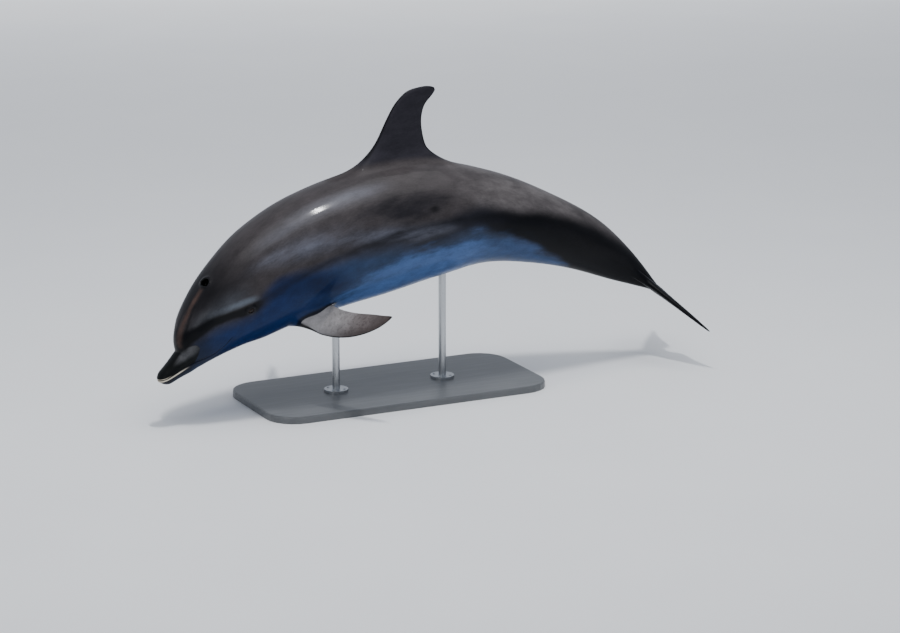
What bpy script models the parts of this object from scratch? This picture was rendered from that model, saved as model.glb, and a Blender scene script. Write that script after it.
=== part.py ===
"""Life-size bottlenose dolphin in mid leap, held over a flat base by two short rods.

The animal is drawn straight first, in body coordinates: station along the spine from the beak's tip,
across to its left, and up towards its back, all as shares of BODY_LENGTH. A bent spine then carries
those coordinates into the leap. Every fleshy piece is a length of one lofted body or a lofted fin,
and each stops a hair's breadth from its neighbour. World axes: the head points to -X, +Z is up, and
the origin is the centre of the base's underside.
"""

import math

import bmesh
import bpy
import numpy as np
from mathutils import Matrix, Vector

# Driving sizes, in metres
BODY_LENGTH = 2.50
GAP = 0.0003
BEAK_CLEARANCE = 0.18

# How finely the lofts are cut
COLUMNS = 32
RING_STEP = 0.0215
HEAD_RINGS = (0.003, 0.007, 0.013, 0.022, 0.034, 0.046, 0.051, 0.056, 0.063, 0.072, 0.084, 0.100)
CHORD_POINTS = 8
FIN_ROWS = 9

# The spine's lie: station, pitch (nose down is positive), turn to the left and twist of the left side
# down, in degrees
SPINE = (
    (0.00, 36.0, 8.0, 0.0),
    (0.12, 34.5, 8.0, 0.0),
    (0.25, 23.8, 4.8, 0.0),
    (0.40, 12.5, 0.0, 0.0),
    (0.55, 1.0, 0.0, 0.0),
    (0.70, -17.0, 0.0, 2.0),
    (0.85, -31.0, 0.0, 6.0),
    (0.93, -35.5, 0.0, 9.0),
    (1.05, -40.0, 0.0, 9.0),
)
SPINE_START, SPINE_END, SPINE_STEPS = -0.06, 1.08, 1140
BALANCE_STATION = 0.42

# Beak and jaws: station, height over the spine, depth under it, half width
BEAK = (
    (0.000, 0.0090, 0.0125, 0.0125),
    (0.030, 0.0118, 0.0192, 0.0172),
    (0.050, 0.0148, 0.0248, 0.0215),
    (0.062, 0.0160, 0.0264, 0.0260),
    (0.090, 0.0180, 0.0315, 0.0370),
    (0.130, 0.0200, 0.0445, 0.0450),
    (0.200, 0.0200, 0.0600, 0.0450),
)
BEAK_TIP_ROUND = 0.013

# Melon, head, trunk and tail stock: station, height, depth, half width, fullness over and under
BODY = (
    (0.047, 0.0040, 0.0040, 0.0040, 2.0, 2.0),
    (0.052, 0.0175, 0.0170, 0.0140, 2.0, 2.0),
    (0.062, 0.0325, 0.0260, 0.0260, 2.1, 2.0),
    (0.075, 0.0430, 0.0284, 0.0345, 2.3, 2.0),
    (0.090, 0.0522, 0.0315, 0.0420, 2.5, 2.0),
    (0.130, 0.0676, 0.0445, 0.0535, 2.7, 2.0),
    (0.180, 0.0842, 0.0635, 0.0640, 2.4, 2.0),
    (0.240, 0.0992, 0.0741, 0.0770, 2.2, 2.0),
    (0.320, 0.1067, 0.0869, 0.0870, 2.1, 2.0),
    (0.420, 0.1081, 0.0946, 0.0900, 2.0, 2.0),
    (0.520, 0.1000, 0.0886, 0.0845, 1.9, 2.0),
    (0.620, 0.0765, 0.0740, 0.0700, 1.8, 1.9),
    (0.720, 0.0565, 0.0632, 0.0515, 1.7, 1.7),
    (0.820, 0.0443, 0.0466, 0.0335, 1.6, 1.6),
    (0.890, 0.0290, 0.0330, 0.0205, 1.6, 1.6),
    (0.940, 0.0155, 0.0180, 0.0135, 1.8, 1.8),
    (1.000, 0.0040, 0.0040, 0.0080, 2.0, 2.0),
)
CREASE_SOFTNESS = 0.0020

# Where the body is parted, as stations
BEAK_END = 0.056
GAPE = 0.121
HEAD_END = 0.190
CHEST_END = 0.365
TRUNK_END = 0.605
LOIN_END = 0.790
PARTINGS = (BEAK_END, HEAD_END, CHEST_END, TRUNK_END, LOIN_END)
BEAK_START, TAIL_END = 0.0008, 1.0

# Stretches of the body that the fins are trimmed to
BACK_UNDER_FIN = (0.36, 0.62)
CHEST_AT_FLIPPER = (0.15, 0.40)
STOCK_IN_FLUKES = 0.85

# Line of the mouth: station, height against the spine
MOUTH = (
    (-0.030, 0.0025),
    (0.000, 0.0025),
    (0.020, -0.0010),
    (0.050, -0.0052),
    (0.085, -0.0105),
    (0.105, -0.0090),
    (0.135, 0.0030),
)

MOUTH_STEPS = 11
JAW_BLOCK_WIDTH, JAW_BLOCK_DEPTH = 0.18, 0.12

# Dorsal fin, root to tip: leading edge's station and height, trailing edge's, thickness
DORSAL_FIN = (
    (0.3950, 0.0850, 0.5850, 0.0700, 0.0300),
    (0.4080, 0.1075, 0.5620, 0.0925, 0.0240),
    (0.4320, 0.1235, 0.5345, 0.1085, 0.0185),
    (0.4520, 0.1424, 0.5235, 0.1300, 0.0155),
    (0.4700, 0.1720, 0.5205, 0.1600, 0.0125),
    (0.4880, 0.2000, 0.5255, 0.1860, 0.0090),
    (0.5090, 0.2160, 0.5365, 0.2010, 0.0062),
    (0.5350, 0.2186, 0.5430, 0.2110, 0.0032),
)

# Flipper, as shares of its own length: distance out, leading edge, trailing edge, thickness
FLIPPER_LENGTH = 0.152
FLIPPER_ROOT = (0.266, 0.039, 0.0625)  # station, across, below the spine
FLIPPER_REACH = (0.257, 0.941, -0.218)  # towards the tail, out and up
FLIPPER_CHORD = (0.762, -0.059, 0.645)
FLIPPER = (
    (-0.10, -0.195, 0.185, 0.150),
    (0.02, -0.186, 0.177, 0.135),
    (0.15, -0.180, 0.160, 0.112),
    (0.35, -0.163, 0.136, 0.085),
    (0.55, -0.114, 0.154, 0.066),
    (0.75, -0.017, 0.197, 0.046),
    (0.90, 0.100, 0.224, 0.030),
    (1.00, 0.222, 0.248, 0.012),
)

# Fluke, middle to tip: across, leading edge's station, trailing edge's, thickness
FLUKE = (
    (0.0000, 0.925, 1.000, 0.0200),
    (0.0120, 0.934, 1.009, 0.0170),
    (0.0350, 0.951, 1.014, 0.0120),
    (0.0650, 0.976, 1.017, 0.0090),
    (0.0920, 1.001, 1.023, 0.0065),
    (0.1120, 1.021, 1.031, 0.0040),
    (0.1220, 1.034, 1.037, 0.0020),
)

# Eyes and blowhole, in metres
EYE_STATION, EYE_HEIGHT = 0.167, 0.0138
EYE_SIZE = (0.016, 0.010, 0.012)
EYE_SUNK = 0.006
BLOWHOLE_STATION, BLOWHOLE_ACROSS = 0.143, 0.006
BLOWHOLE_SIZE = (0.017, 0.020, 0.006)

# Stand, in metres
BASE_SIZE = (1.20, 0.56, 0.028)
BASE_CORNER = 0.12
BASE_BEVEL = 0.006
ROD_RADIUS = 0.015
ROD_STATIONS = {"front": 0.330, "rear": 0.545}
ROD_SOCKET = 0.070
FLANGE_RADIUS, FLANGE_HEIGHT = 0.048, 0.010
ROUND_SIDES = 32
CORNER_STEPS = 6

# Colours are linear red, green and blue, then roughness and metallic value
FINISHES = {
    "back_skin": ((0.040, 0.042, 0.050), 0.32, 0.0),
    "flank_skin": ((0.095, 0.105, 0.125), 0.34, 0.0),
    "fin_skin": ((0.030, 0.031, 0.037), 0.34, 0.0),
    "flipper_skin": ((0.200, 0.190, 0.180), 0.34, 0.0),
    "eye": ((0.010, 0.007, 0.006), 0.08, 0.0),
    "blowhole": ((0.008, 0.008, 0.010), 0.25, 0.0),
    "stand_plate": ((0.045, 0.047, 0.050), 0.45, 0.0),
    "stand_steel": ((0.550, 0.560, 0.570), 0.30, 1.0),
}


def clear_scene():
    for obj in list(bpy.data.objects):
        bpy.data.objects.remove(obj, do_unlink=True)


def make_finish(name):
    colour, roughness, metallic = FINISHES[name]
    material = bpy.data.materials.new(name)
    material.use_nodes = True
    shader = material.node_tree.nodes["Principled BSDF"]
    shader.inputs["Base Color"].default_value = (*colour, 1.0)
    shader.inputs["Roughness"].default_value = roughness
    shader.inputs["Metallic"].default_value = metallic
    return material


def through(knots, values, at):
    """A smooth curve through the knots that never swings past them (monotone cubic)."""
    knots, values, at = (np.asarray(v, float) for v in (knots, values, at))
    step = np.diff(knots)
    slope = np.diff(values) / step
    tangent = np.zeros_like(values)
    tangent[0], tangent[-1] = slope[0], slope[-1]
    before, after = slope[:-1], slope[1:]
    same_way = before * after > 0
    near, far = 2 * step[1:] + step[:-1], step[1:] + 2 * step[:-1]
    tangent[1:-1][same_way] = ((near + far)[same_way]) / (
        near[same_way] / before[same_way] + far[same_way] / after[same_way]
    )
    i = np.clip(np.searchsorted(knots, at, side="right") - 1, 0, len(knots) - 2)
    t = (at - knots[i]) / step[i]
    return (
        (1 + 2 * t) * (1 - t) ** 2 * values[i]
        + t * (1 - t) ** 2 * step[i] * tangent[i]
        + t**2 * (3 - 2 * t) * values[i + 1]
        + t**2 * (t - 1) * step[i] * tangent[i + 1]
    )


def column_of(table, column, at):
    knots = [row[0] for row in table]
    return through(knots, [row[column] for row in table], at)


class Spine:
    """The bent line of the back: walks along the pitch and turn, and keeps a frame at each step."""

    def __init__(self):
        self.stations = np.linspace(SPINE_START, SPINE_END, SPINE_STEPS + 1)
        held = np.clip(self.stations, SPINE[0][0], SPINE[-1][0])
        pitch, turn, twist = (np.radians(column_of(SPINE, k, held)) for k in (1, 2, 3))
        back = np.stack(
            [np.cos(pitch) * np.cos(turn), np.cos(pitch) * np.sin(turn), np.sin(pitch)], 1
        )
        left = np.stack([np.sin(turn), -np.cos(turn), np.zeros_like(turn)], 1)
        up = np.cross(left, back)
        cos, sin = np.cos(twist)[:, None], np.sin(twist)[:, None]
        self.back, self.left, self.up = back, left * cos - up * sin, up * cos + left * sin
        step = np.diff(self.stations)[:, None] * BODY_LENGTH
        walked = np.cumsum((back[1:] + back[:-1]) / 2 * step, 0)
        self.points = np.vstack([np.zeros(3), walked])
        self.points -= self.at(self.points, BALANCE_STATION)

    def at(self, values, station):
        station = np.asarray(station, float)
        return np.stack([np.interp(station, self.stations, values[:, k]) for k in range(3)], -1)

    def place(self, station, across, up):
        """World points of body coordinates, all three as shares of BODY_LENGTH."""
        station, across, up = np.broadcast_arrays(station, across, up)
        side = self.at(self.left, station) * across[..., None]
        rise = self.at(self.up, station) * up[..., None]
        return self.at(self.points, station) + (side + rise) * BODY_LENGTH

    def turn_vector(self, station, back, out, up):
        """World direction of one given in body coordinates at a station."""
        return self.at(self.back, station) * back + self.at(self.left, station) * out + (
            self.at(self.up, station) * up
        )


SPINE_LINE = Spine()


def oval_radius(angle, height, depth, width, over=2.0, under=2.0):
    """Distance from the spine to a superellipse, at an angle measured from straight up."""
    rise, side = np.cos(angle), np.abs(np.sin(angle))
    tall = np.where(rise > 0, height, depth)
    power = np.where(rise > 0, over, under)
    return ((side / width) ** power + (np.abs(rise) / tall) ** power) ** (-1 / power)


def body_radius(station, angle):
    """The beak's oval and the head's, whichever is wider, with a narrow crease between them."""
    station = np.asarray(station, float)
    blunt = np.clip(station / BEAK_TIP_ROUND, 0.0, 1.0)
    tip = np.sqrt(np.maximum(1 - (1 - blunt) ** 2, 1e-6))
    held = np.clip(station, 0, BEAK[-1][0])
    beak = oval_radius(angle, *(column_of(BEAK, k, held) * tip for k in (1, 2, 3)))
    held = np.clip(station, BODY[0][0], BODY[-1][0])
    head = oval_radius(angle, *(column_of(BODY, k, held) for k in (1, 2, 3, 4, 5)))
    head = np.where(station < BODY[0][0], 0.0, head)
    beak = np.where(station > BEAK[-1][0], 0.0, beak)
    blend = np.maximum(CREASE_SOFTNESS - np.abs(beak - head), 0) / CREASE_SOFTNESS
    return np.maximum(beak, head) + blend**2 * CREASE_SOFTNESS / 4


def body_point(station, angle, grow=0.0):
    """A point of the skin, grown outwards by a distance in metres."""
    radius = body_radius(station, angle) + grow / BODY_LENGTH
    return SPINE_LINE.place(station, radius * np.sin(angle), radius * np.cos(angle))


def add_object(name, vertices, faces, finish=None):
    mesh = bpy.data.meshes.new(name)
    mesh.from_pydata([tuple(v) for v in vertices], [], faces)
    shell = bmesh.new()
    shell.from_mesh(mesh)
    bmesh.ops.recalc_face_normals(shell, faces=shell.faces)
    shell.to_mesh(mesh)
    shell.free()
    obj = bpy.data.objects.new(name, mesh)
    bpy.context.scene.collection.objects.link(obj)
    if finish is not None:
        mesh.materials.append(finish)
        mesh.shade_smooth()
        mesh.set_sharp_from_angle(angle=math.radians(38))
    return obj


def loft(name, rings, finish=None):
    """A closed tube through rings of points, with a flat face over each end ring.

    Each quad is split along the same diagonal, so that a piece and a cutter grown from it stay apart.
    """
    rows, count = rings.shape[:2]
    faces = [tuple(range(count)), tuple(range(rows * count - 1, (rows - 1) * count - 1, -1))]
    for row in range(rows - 1):
        for column in range(count):
            near, far = row * count + column, row * count + (column + 1) % count
            faces.append((near, far, far + count))
            faces.append((near, far + count, near + count))
    return add_object(name, rings.reshape(-1, 3), faces, finish)


def body_stations(start, end):
    """Ring stations from start to end, shared by every piece and cutter, with a ring at each parting.

    They stand closer together where the beak is blunt and the melon rises.
    """
    marks = [*HEAD_RINGS, *np.arange(HEAD_RINGS[-1] + RING_STEP, TAIL_END, RING_STEP)]
    clear = [m for m in marks if min(abs(m - parting) for parting in PARTINGS) > RING_STEP / 6]
    inner = [m for m in sorted([*clear, *PARTINGS]) if start + GAP < m < end - GAP]
    return np.array([start, *inner, end])


def body_length(name, start, end, finish=None, grow=0.0):
    """The part of the body between two stations."""
    stations = body_stations(start, end)
    angles = np.linspace(0, 2 * math.pi, COLUMNS, endpoint=False)
    return loft(name, body_point(stations[:, None], angles[None, :], grow), finish)


def cutter_from(obj):
    obj.hide_render = True
    obj.display_type = "WIRE"
    return obj


def cut(obj, tool, operation="DIFFERENCE"):
    modifier = obj.modifiers.new(tool.name, "BOOLEAN")
    modifier.operation = operation
    modifier.solver = "EXACT"
    modifier.object = cutter_from(tool)


def jaw_block(name, end, lift):
    """A block that fills the space under the mouth's line, out past the lips."""
    stations = np.array([MOUTH[0][0], *np.linspace(0.0, end, MOUTH_STEPS)])
    line = column_of(MOUTH, 1, stations) + lift / BODY_LENGTH
    across = np.array([1, 1, -1, -1]) * JAW_BLOCK_WIDTH / 2
    up = np.stack([line, line - JAW_BLOCK_DEPTH, line - JAW_BLOCK_DEPTH, line], 1)
    return loft(name, SPINE_LINE.place(stations[:, None], across[None, :], up))


def foil_ring(lead, trail, thick, normal):
    """One rib of a fin: a rounded leading edge, a fine trailing edge, and equal sides.

    The half thickness follows the classic four-digit aerofoil series.
    """
    share = (1 - np.cos(np.linspace(0, math.pi, CHORD_POINTS + 1))) / 2
    half = 5 * (
        0.2969 * np.sqrt(share) - 0.126 * share - 0.3516 * share**2 + 0.2843 * share**3
        - 0.0985 * share**4
    )
    half[-1] = max(half[-1], 0.04)
    half[0] = 0.0
    chord = lead + (trail - lead) * share[:, None]
    side = normal * (half * thick)[:, None]
    return np.vstack([chord + side, (chord - side)[:0:-1]])


def fin_rows(table):
    """The table's rows, resampled evenly from root to tip."""
    rows = np.asarray(table, float)
    knots = np.linspace(0, 1, len(rows))
    even = np.linspace(0, 1, FIN_ROWS)
    return np.stack([through(knots, rows[:, k], even) for k in range(rows.shape[1])], 1)


def dorsal_fin(finish):
    rings = []
    for lead_s, lead_z, trail_s, trail_z, thick in fin_rows(DORSAL_FIN):
        lead = SPINE_LINE.place(lead_s, 0.0, lead_z)
        trail = SPINE_LINE.place(trail_s, 0.0, trail_z)
        normal = SPINE_LINE.turn_vector((lead_s + trail_s) / 2, 0, 1, 0)
        rings.append(foil_ring(lead, trail, thick * BODY_LENGTH, normal))
    return loft("dorsal_fin", np.array(rings), finish)


def flipper_frame(side):
    """Root centre, reach, chord and normal of a flipper; side is 1 for the left and -1 for the right."""
    station, across, below = FLIPPER_ROOT
    root = SPINE_LINE.place(station, side * across, -below)
    reach = SPINE_LINE.turn_vector(station, FLIPPER_REACH[0], side * FLIPPER_REACH[1], FLIPPER_REACH[2])
    reach /= np.linalg.norm(reach)
    chord = SPINE_LINE.turn_vector(station, FLIPPER_CHORD[0], side * FLIPPER_CHORD[1], FLIPPER_CHORD[2])
    chord -= reach * (chord @ reach)
    chord /= np.linalg.norm(chord)
    return root, reach, chord, np.cross(reach, chord) * side


def flipper(name, side, finish):
    root, reach, chord, normal = flipper_frame(side)
    length = FLIPPER_LENGTH * BODY_LENGTH
    rings = [
        foil_ring(
            root + (reach * out + chord * lead) * length,
            root + (reach * out + chord * trail) * length,
            thick * length,
            normal,
        )
        for out, lead, trail, thick in fin_rows(FLIPPER)
    ]
    return loft(name, np.array(rings), finish)


def fluke(name, side, finish):
    rings = []
    for across, lead_s, trail_s, thick in fin_rows(FLUKE):
        out = side * (across + GAP / 2 / BODY_LENGTH)
        lead = SPINE_LINE.place(lead_s, out, 0.0)
        trail = SPINE_LINE.place(trail_s, out, 0.0)
        normal = SPINE_LINE.turn_vector((lead_s + trail_s) / 2, 0, 0, 1)
        rings.append(foil_ring(lead, trail, thick * BODY_LENGTH, normal))
    return loft(name, np.array(rings), finish)


def skin_frame(station, angle):
    """A point of the skin with the directions towards the tail, outwards, and along the girth."""
    step, turn = 0.004, 0.02
    point = body_point(station, angle)
    back = body_point(station + step, angle) - body_point(station - step, angle)
    round_way = body_point(station, angle + turn) - body_point(station, angle - turn)
    out = np.cross(back, round_way)
    centre = SPINE_LINE.place(station, 0.0, 0.0)
    out *= np.sign(out @ (point - centre))
    back, out = Vector(back).normalized(), Vector(out).normalized()
    return Vector(point), back, out, back.cross(out)


def pebble(name, station, angle, size, sunk, finish, grow=0.0):
    """An ellipsoid set into the skin: size is half its length, depth and height."""
    point, back, out, along = skin_frame(station, angle)
    shell = bmesh.new()
    bmesh.ops.create_uvsphere(shell, u_segments=16, v_segments=10, radius=1.0)
    turn = Matrix((back, out, along)).transposed()
    stretch = Matrix.Diagonal([half + grow for half in size])
    for vertex in shell.verts:
        vertex.co = point - out * sunk + turn @ (stretch @ vertex.co)
    mesh = bpy.data.meshes.new(name)
    shell.to_mesh(mesh)
    shell.free()
    obj = bpy.data.objects.new(name, mesh)
    bpy.context.scene.collection.objects.link(obj)
    if finish is not None:
        mesh.materials.append(finish)
        mesh.shade_smooth()
    return obj


def eye_angle(side):
    """The angle at which the skin stands EYE_HEIGHT over the spine, on the given side."""
    angles = np.radians(np.linspace(60, 110, 501))
    height = body_radius(EYE_STATION, angles) * np.cos(angles)
    return side * angles[np.argmin(np.abs(height - EYE_HEIGHT))]


def round_bar(name, x, y, low, high, radius, finish=None):
    shell = bmesh.new()
    middle = Matrix.Translation((x, y, (low + high) / 2))
    bmesh.ops.create_cone(
        shell, cap_ends=True, segments=ROUND_SIDES, radius1=radius, radius2=radius,
        depth=high - low, matrix=middle,
    )
    mesh = bpy.data.meshes.new(name)
    shell.to_mesh(mesh)
    shell.free()
    obj = bpy.data.objects.new(name, mesh)
    bpy.context.scene.collection.objects.link(obj)
    if finish is not None:
        mesh.materials.append(finish)
        mesh.shade_smooth()
        mesh.set_sharp_from_angle(angle=math.radians(38))
    return obj


def base_plate(finish, middle, floor):
    """A flat plate with round corners and a narrow bevel round its top, centred at x = middle."""
    length, width, height = BASE_SIZE
    shell = bmesh.new()
    outline = []
    for turn in range(4):
        sign_x = 1 if turn in (0, 3) else -1
        sign_y = 1 if turn in (0, 1) else -1
        centre_x = middle + sign_x * (length / 2 - BASE_CORNER)
        centre_y = sign_y * (width / 2 - BASE_CORNER)
        for k in range(CORNER_STEPS + 1):
            bearing = math.pi / 2 * (turn + k / CORNER_STEPS)
            x = centre_x + math.cos(bearing) * BASE_CORNER
            y = centre_y + math.sin(bearing) * BASE_CORNER
            outline.append((x, y, floor))
    face = shell.faces.new([shell.verts.new(point) for point in outline])
    lifted = bmesh.ops.extrude_face_region(shell, geom=[face])["geom"]
    top_verts = [g for g in lifted if isinstance(g, bmesh.types.BMVert)]
    bmesh.ops.translate(shell, verts=top_verts, vec=(0, 0, height))
    top_edges = [e for e in shell.edges if all(v in top_verts for v in e.verts)]
    bmesh.ops.bevel(shell, geom=top_edges, offset=BASE_BEVEL, segments=2, profile=0.5,
                    affect="EDGES")
    bmesh.ops.recalc_face_normals(shell, faces=shell.faces)
    mesh = bpy.data.meshes.new("stand_base")
    shell.to_mesh(mesh)
    shell.free()
    obj = bpy.data.objects.new("stand_base", mesh)
    bpy.context.scene.collection.objects.link(obj)
    mesh.materials.append(finish)
    return obj


def build():
    clear_scene()
    finish = {name: make_finish(name) for name in FINISHES}

    lengths = {
        "beak_upper": (BEAK_START, BEAK_END, "back_skin"),
        "head": (BEAK_END, HEAD_END, "back_skin"),
        "chest": (HEAD_END, CHEST_END, "flank_skin"),
        "trunk": (CHEST_END, TRUNK_END, "flank_skin"),
        "loin": (TRUNK_END, LOIN_END, "flank_skin"),
        "tail_stock": (LOIN_END, TAIL_END, "back_skin"),
    }
    gap = GAP / BODY_LENGTH
    flesh = {
        name: body_length(name, start + gap, end, finish[skin])
        for name, (start, end, skin) in lengths.items()
    }
    jaw_end = GAPE + RING_STEP
    flesh["lower_jaw"] = body_length("lower_jaw", BEAK_START + gap, jaw_end, finish["back_skin"])
    cut(flesh["lower_jaw"], jaw_block("cut_jaw", GAPE, 0.0), "INTERSECT")
    for name in ("beak_upper", "head"):
        cut(flesh[name], jaw_block("cut_mouth_" + name, GAPE + gap, GAP))

    for label, side in (("left", 1), ("right", -1)):
        angle = eye_angle(side)
        pebble("eye_" + label, EYE_STATION, angle, EYE_SIZE, EYE_SUNK, finish["eye"])
        socket = pebble("cut_eye_" + label, EYE_STATION, angle, EYE_SIZE, EYE_SUNK, None, GAP)
        cut(flesh["head"], socket)
    lean = BLOWHOLE_ACROSS / body_radius(BLOWHOLE_STATION, 0.0)
    hole = (BLOWHOLE_STATION, lean, BLOWHOLE_SIZE, BLOWHOLE_SIZE[2] / 2)
    pebble("blowhole", *hole, finish["blowhole"])
    cut(flesh["head"], pebble("cut_blowhole", *hole, None, GAP))

    cut(dorsal_fin(finish["fin_skin"]), body_length("cut_back", *BACK_UNDER_FIN, grow=GAP))
    for label, side in (("left", 1), ("right", -1)):
        fin = flipper("flipper_" + label, side, finish["flipper_skin"])
        cut(fin, body_length("cut_chest_" + label, *CHEST_AT_FLIPPER, grow=GAP))
        fin = fluke("fluke_" + label, side, finish["fin_skin"])
        cut(fin, body_length("cut_stock_" + label, STOCK_IN_FLUKES, TAIL_END + gap, grow=GAP))

    floor = body_point(0.0, math.pi)[2] - BEAK_CLEARANCE
    top = floor + BASE_SIZE[2]
    rods = {}
    for label, station in ROD_STATIONS.items():
        belly = body_point(station, math.pi)
        rods[label] = belly
    middle = sum(point[0] for point in rods.values()) / len(rods)
    for label, point in rods.items():
        owner = flesh["chest"] if ROD_STATIONS[label] < CHEST_END else flesh["trunk"]
        x, y, high = point[0], point[1], point[2] + ROD_SOCKET
        round_bar("stand_rod_" + label, x, y, top + GAP, high, ROD_RADIUS, finish["stand_steel"])
        cut(owner, round_bar("cut_rod_" + label, x, y, top, high + GAP, ROD_RADIUS + GAP))
        flange = round_bar("stand_flange_" + label, x, y, top + GAP, top + GAP + FLANGE_HEIGHT,
                           FLANGE_RADIUS, finish["stand_steel"])
        cut(flange, round_bar("cut_flange_" + label, x, y, floor, high, ROD_RADIUS + GAP))
    base_plate(finish["stand_plate"], middle, floor)

    for obj in bpy.data.objects:
        obj.location = (-middle, 0.0, -floor)


build()
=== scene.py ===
"""Looks of the life-size bottlenose dolphin on its display stand.

One closed skin stands for every node of flesh. It starts as a coarse cage: a tube of rings along the bent
spine, with rectangular patches of the tube swapped for the fins, the eye sockets and the blowhole. The cage
is subdivided once, sculpted by formula, and given attributes that the skin's finish paints by. Body
coordinates are the station along the spine from the beak's tip, across to the left and up to the back, all
as shares of the body's length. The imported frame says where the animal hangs.
"""

import logging
import math
from collections.abc import Callable
from dataclasses import dataclass, field
from enum import Enum

import bpy
import numpy as np
from bpy.types import Material, Mesh, Node, NodeSocket, NodeTree, Object
from mathutils import Matrix, Vector


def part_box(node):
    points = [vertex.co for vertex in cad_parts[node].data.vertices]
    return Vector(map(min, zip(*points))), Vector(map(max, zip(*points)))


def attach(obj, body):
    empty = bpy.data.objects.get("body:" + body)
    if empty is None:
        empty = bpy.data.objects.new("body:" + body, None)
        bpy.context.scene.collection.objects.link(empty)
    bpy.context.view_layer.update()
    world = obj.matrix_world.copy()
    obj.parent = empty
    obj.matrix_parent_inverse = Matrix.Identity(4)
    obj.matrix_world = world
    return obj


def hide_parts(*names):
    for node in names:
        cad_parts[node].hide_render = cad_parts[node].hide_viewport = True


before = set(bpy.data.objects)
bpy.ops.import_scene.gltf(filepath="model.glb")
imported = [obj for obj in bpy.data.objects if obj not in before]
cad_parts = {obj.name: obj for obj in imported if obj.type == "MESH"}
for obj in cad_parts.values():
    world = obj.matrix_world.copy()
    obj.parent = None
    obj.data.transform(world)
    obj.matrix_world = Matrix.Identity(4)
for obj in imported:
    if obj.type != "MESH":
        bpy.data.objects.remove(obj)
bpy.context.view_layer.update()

LOG = logging.getLogger("dolphin")
Array = np.ndarray
Rows = tuple[tuple[float, ...], ...]
Colour = tuple[float, ...]
Pair = tuple[float, float]
Triple = tuple[float, float, float]
Spot = tuple[float, float, float, float]
FourArrays = tuple[Array, Array, Array, Array]

BODY_LENGTH = 2.50
ROD_SOCKET = 0.070
FRONT_ROD_STATION = 0.330
REAR_ROD_STATION = 0.545
FLESH_NODES = (
    "beak_upper", "lower_jaw", "head", "chest", "trunk", "loin", "tail_stock", "dorsal_fin",
    "flipper_left", "flipper_right", "fluke_left", "fluke_right", "blowhole",
)


class Side(Enum):
    """The two sides of the animal, as the sign of the across coordinate."""

    LEFT = 1
    RIGHT = -1

    @property
    def label(self) -> str:
        """The side's name in lower case."""
        return self.name.lower()


# ---- curves ----


def smoothstep(low: float, high: float, value: Array) -> Array:
    """An S-shaped rise from 0 at low to 1 at high: 3t^2 - 2t^3 of the clipped share t.

    Args:
        low: where the rise starts.
        high: where it ends; it may be below low, and the curve then falls.
        value: where to read it.

    Returns:
        The curve's values, from 0 to 1.
    """
    share = np.clip((np.asarray(value, float) - low) / (high - low), 0.0, 1.0)
    return share * share * (3.0 - 2.0 * share)


def hill(offset: Array, width: Array | float) -> Array:
    """A bell curve, exp(-(offset / width)^2)."""
    return np.exp(-((offset / width) ** 2))


def mix(first: Array | float, second: Array | float, share: Array | float) -> Array:
    """The straight blend of two values, first where share is 0 and second where it is 1."""
    return first + (second - first) * share


def unit(vectors: Array) -> Array:
    """Each vector divided by its length."""
    return vectors / np.maximum(np.linalg.norm(vectors, axis=-1, keepdims=True), 1e-12)


def hermite(share: Array, first: Array, leave: Array, last: Array, arrive: Array) -> Array:
    """A cubic between two values with given slopes at its ends.

    Args:
        share: how far along it to read it, from 0 to 1.
        first: its value at the start.
        leave: its slope there.
        last: its value at the end.
        arrive: its slope there.

    Returns:
        The cubic's values.
    """
    rest = 1 - share
    return (
        (1 + 2 * share) * rest**2 * first
        + share * rest**2 * leave
        + share**2 * (3 - 2 * share) * last
        - share**2 * rest * arrive
    )


def quads_of(grid: Array) -> Array:
    """The four corners of every cell of a grid, in order round the cell."""
    return np.stack([grid[:-1, :-1], grid[1:, :-1], grid[1:, 1:], grid[:-1, 1:]], 2)


@dataclass(frozen=True)
class Table:
    """Rows of numbers whose first column is a station; the others are smooth curves over it."""

    rows: Rows

    def read(self, column: int, at: Array) -> Array:
        """Reads one column with a monotone cubic, which never swings past its knots.

        Inner tangents are the weighted harmonic mean of the two neighbouring slopes, or nil where the
        curve turns. Past the ends the first or last value holds.

        Args:
            column: which column to read, from 1.
            at: the stations to read it at.

        Returns:
            The column's values there.
        """
        table = np.array(self.rows, float)
        knots, values = table[:, 0], table[:, column]
        at = np.clip(np.asarray(at, float), knots[0], knots[-1])
        step = np.diff(knots)
        slope = np.diff(values) / step
        tangent = np.zeros_like(values)
        tangent[0], tangent[-1] = slope[0], slope[-1]
        before, after = slope[:-1], slope[1:]
        same = before * after > 0
        near, far = 2 * step[1:] + step[:-1], step[1:] + 2 * step[:-1]
        blended = near[same] / before[same] + far[same] / after[same]
        tangent[1:-1][same] = (near + far)[same] / blended
        i = np.clip(np.searchsorted(knots, at, side="right") - 1, 0, len(knots) - 2)
        share = (at - knots[i]) / step[i]
        return hermite(share, values[i], step[i] * tangent[i], values[i + 1], step[i] * tangent[i + 1])

    def columns(self, at: Array) -> list[Array]:
        """Every column after the first, each read with the monotone cubic."""
        return [self.read(column, at) for column in range(1, len(self.rows[0]))]


# ---- the bare form ----


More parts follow.
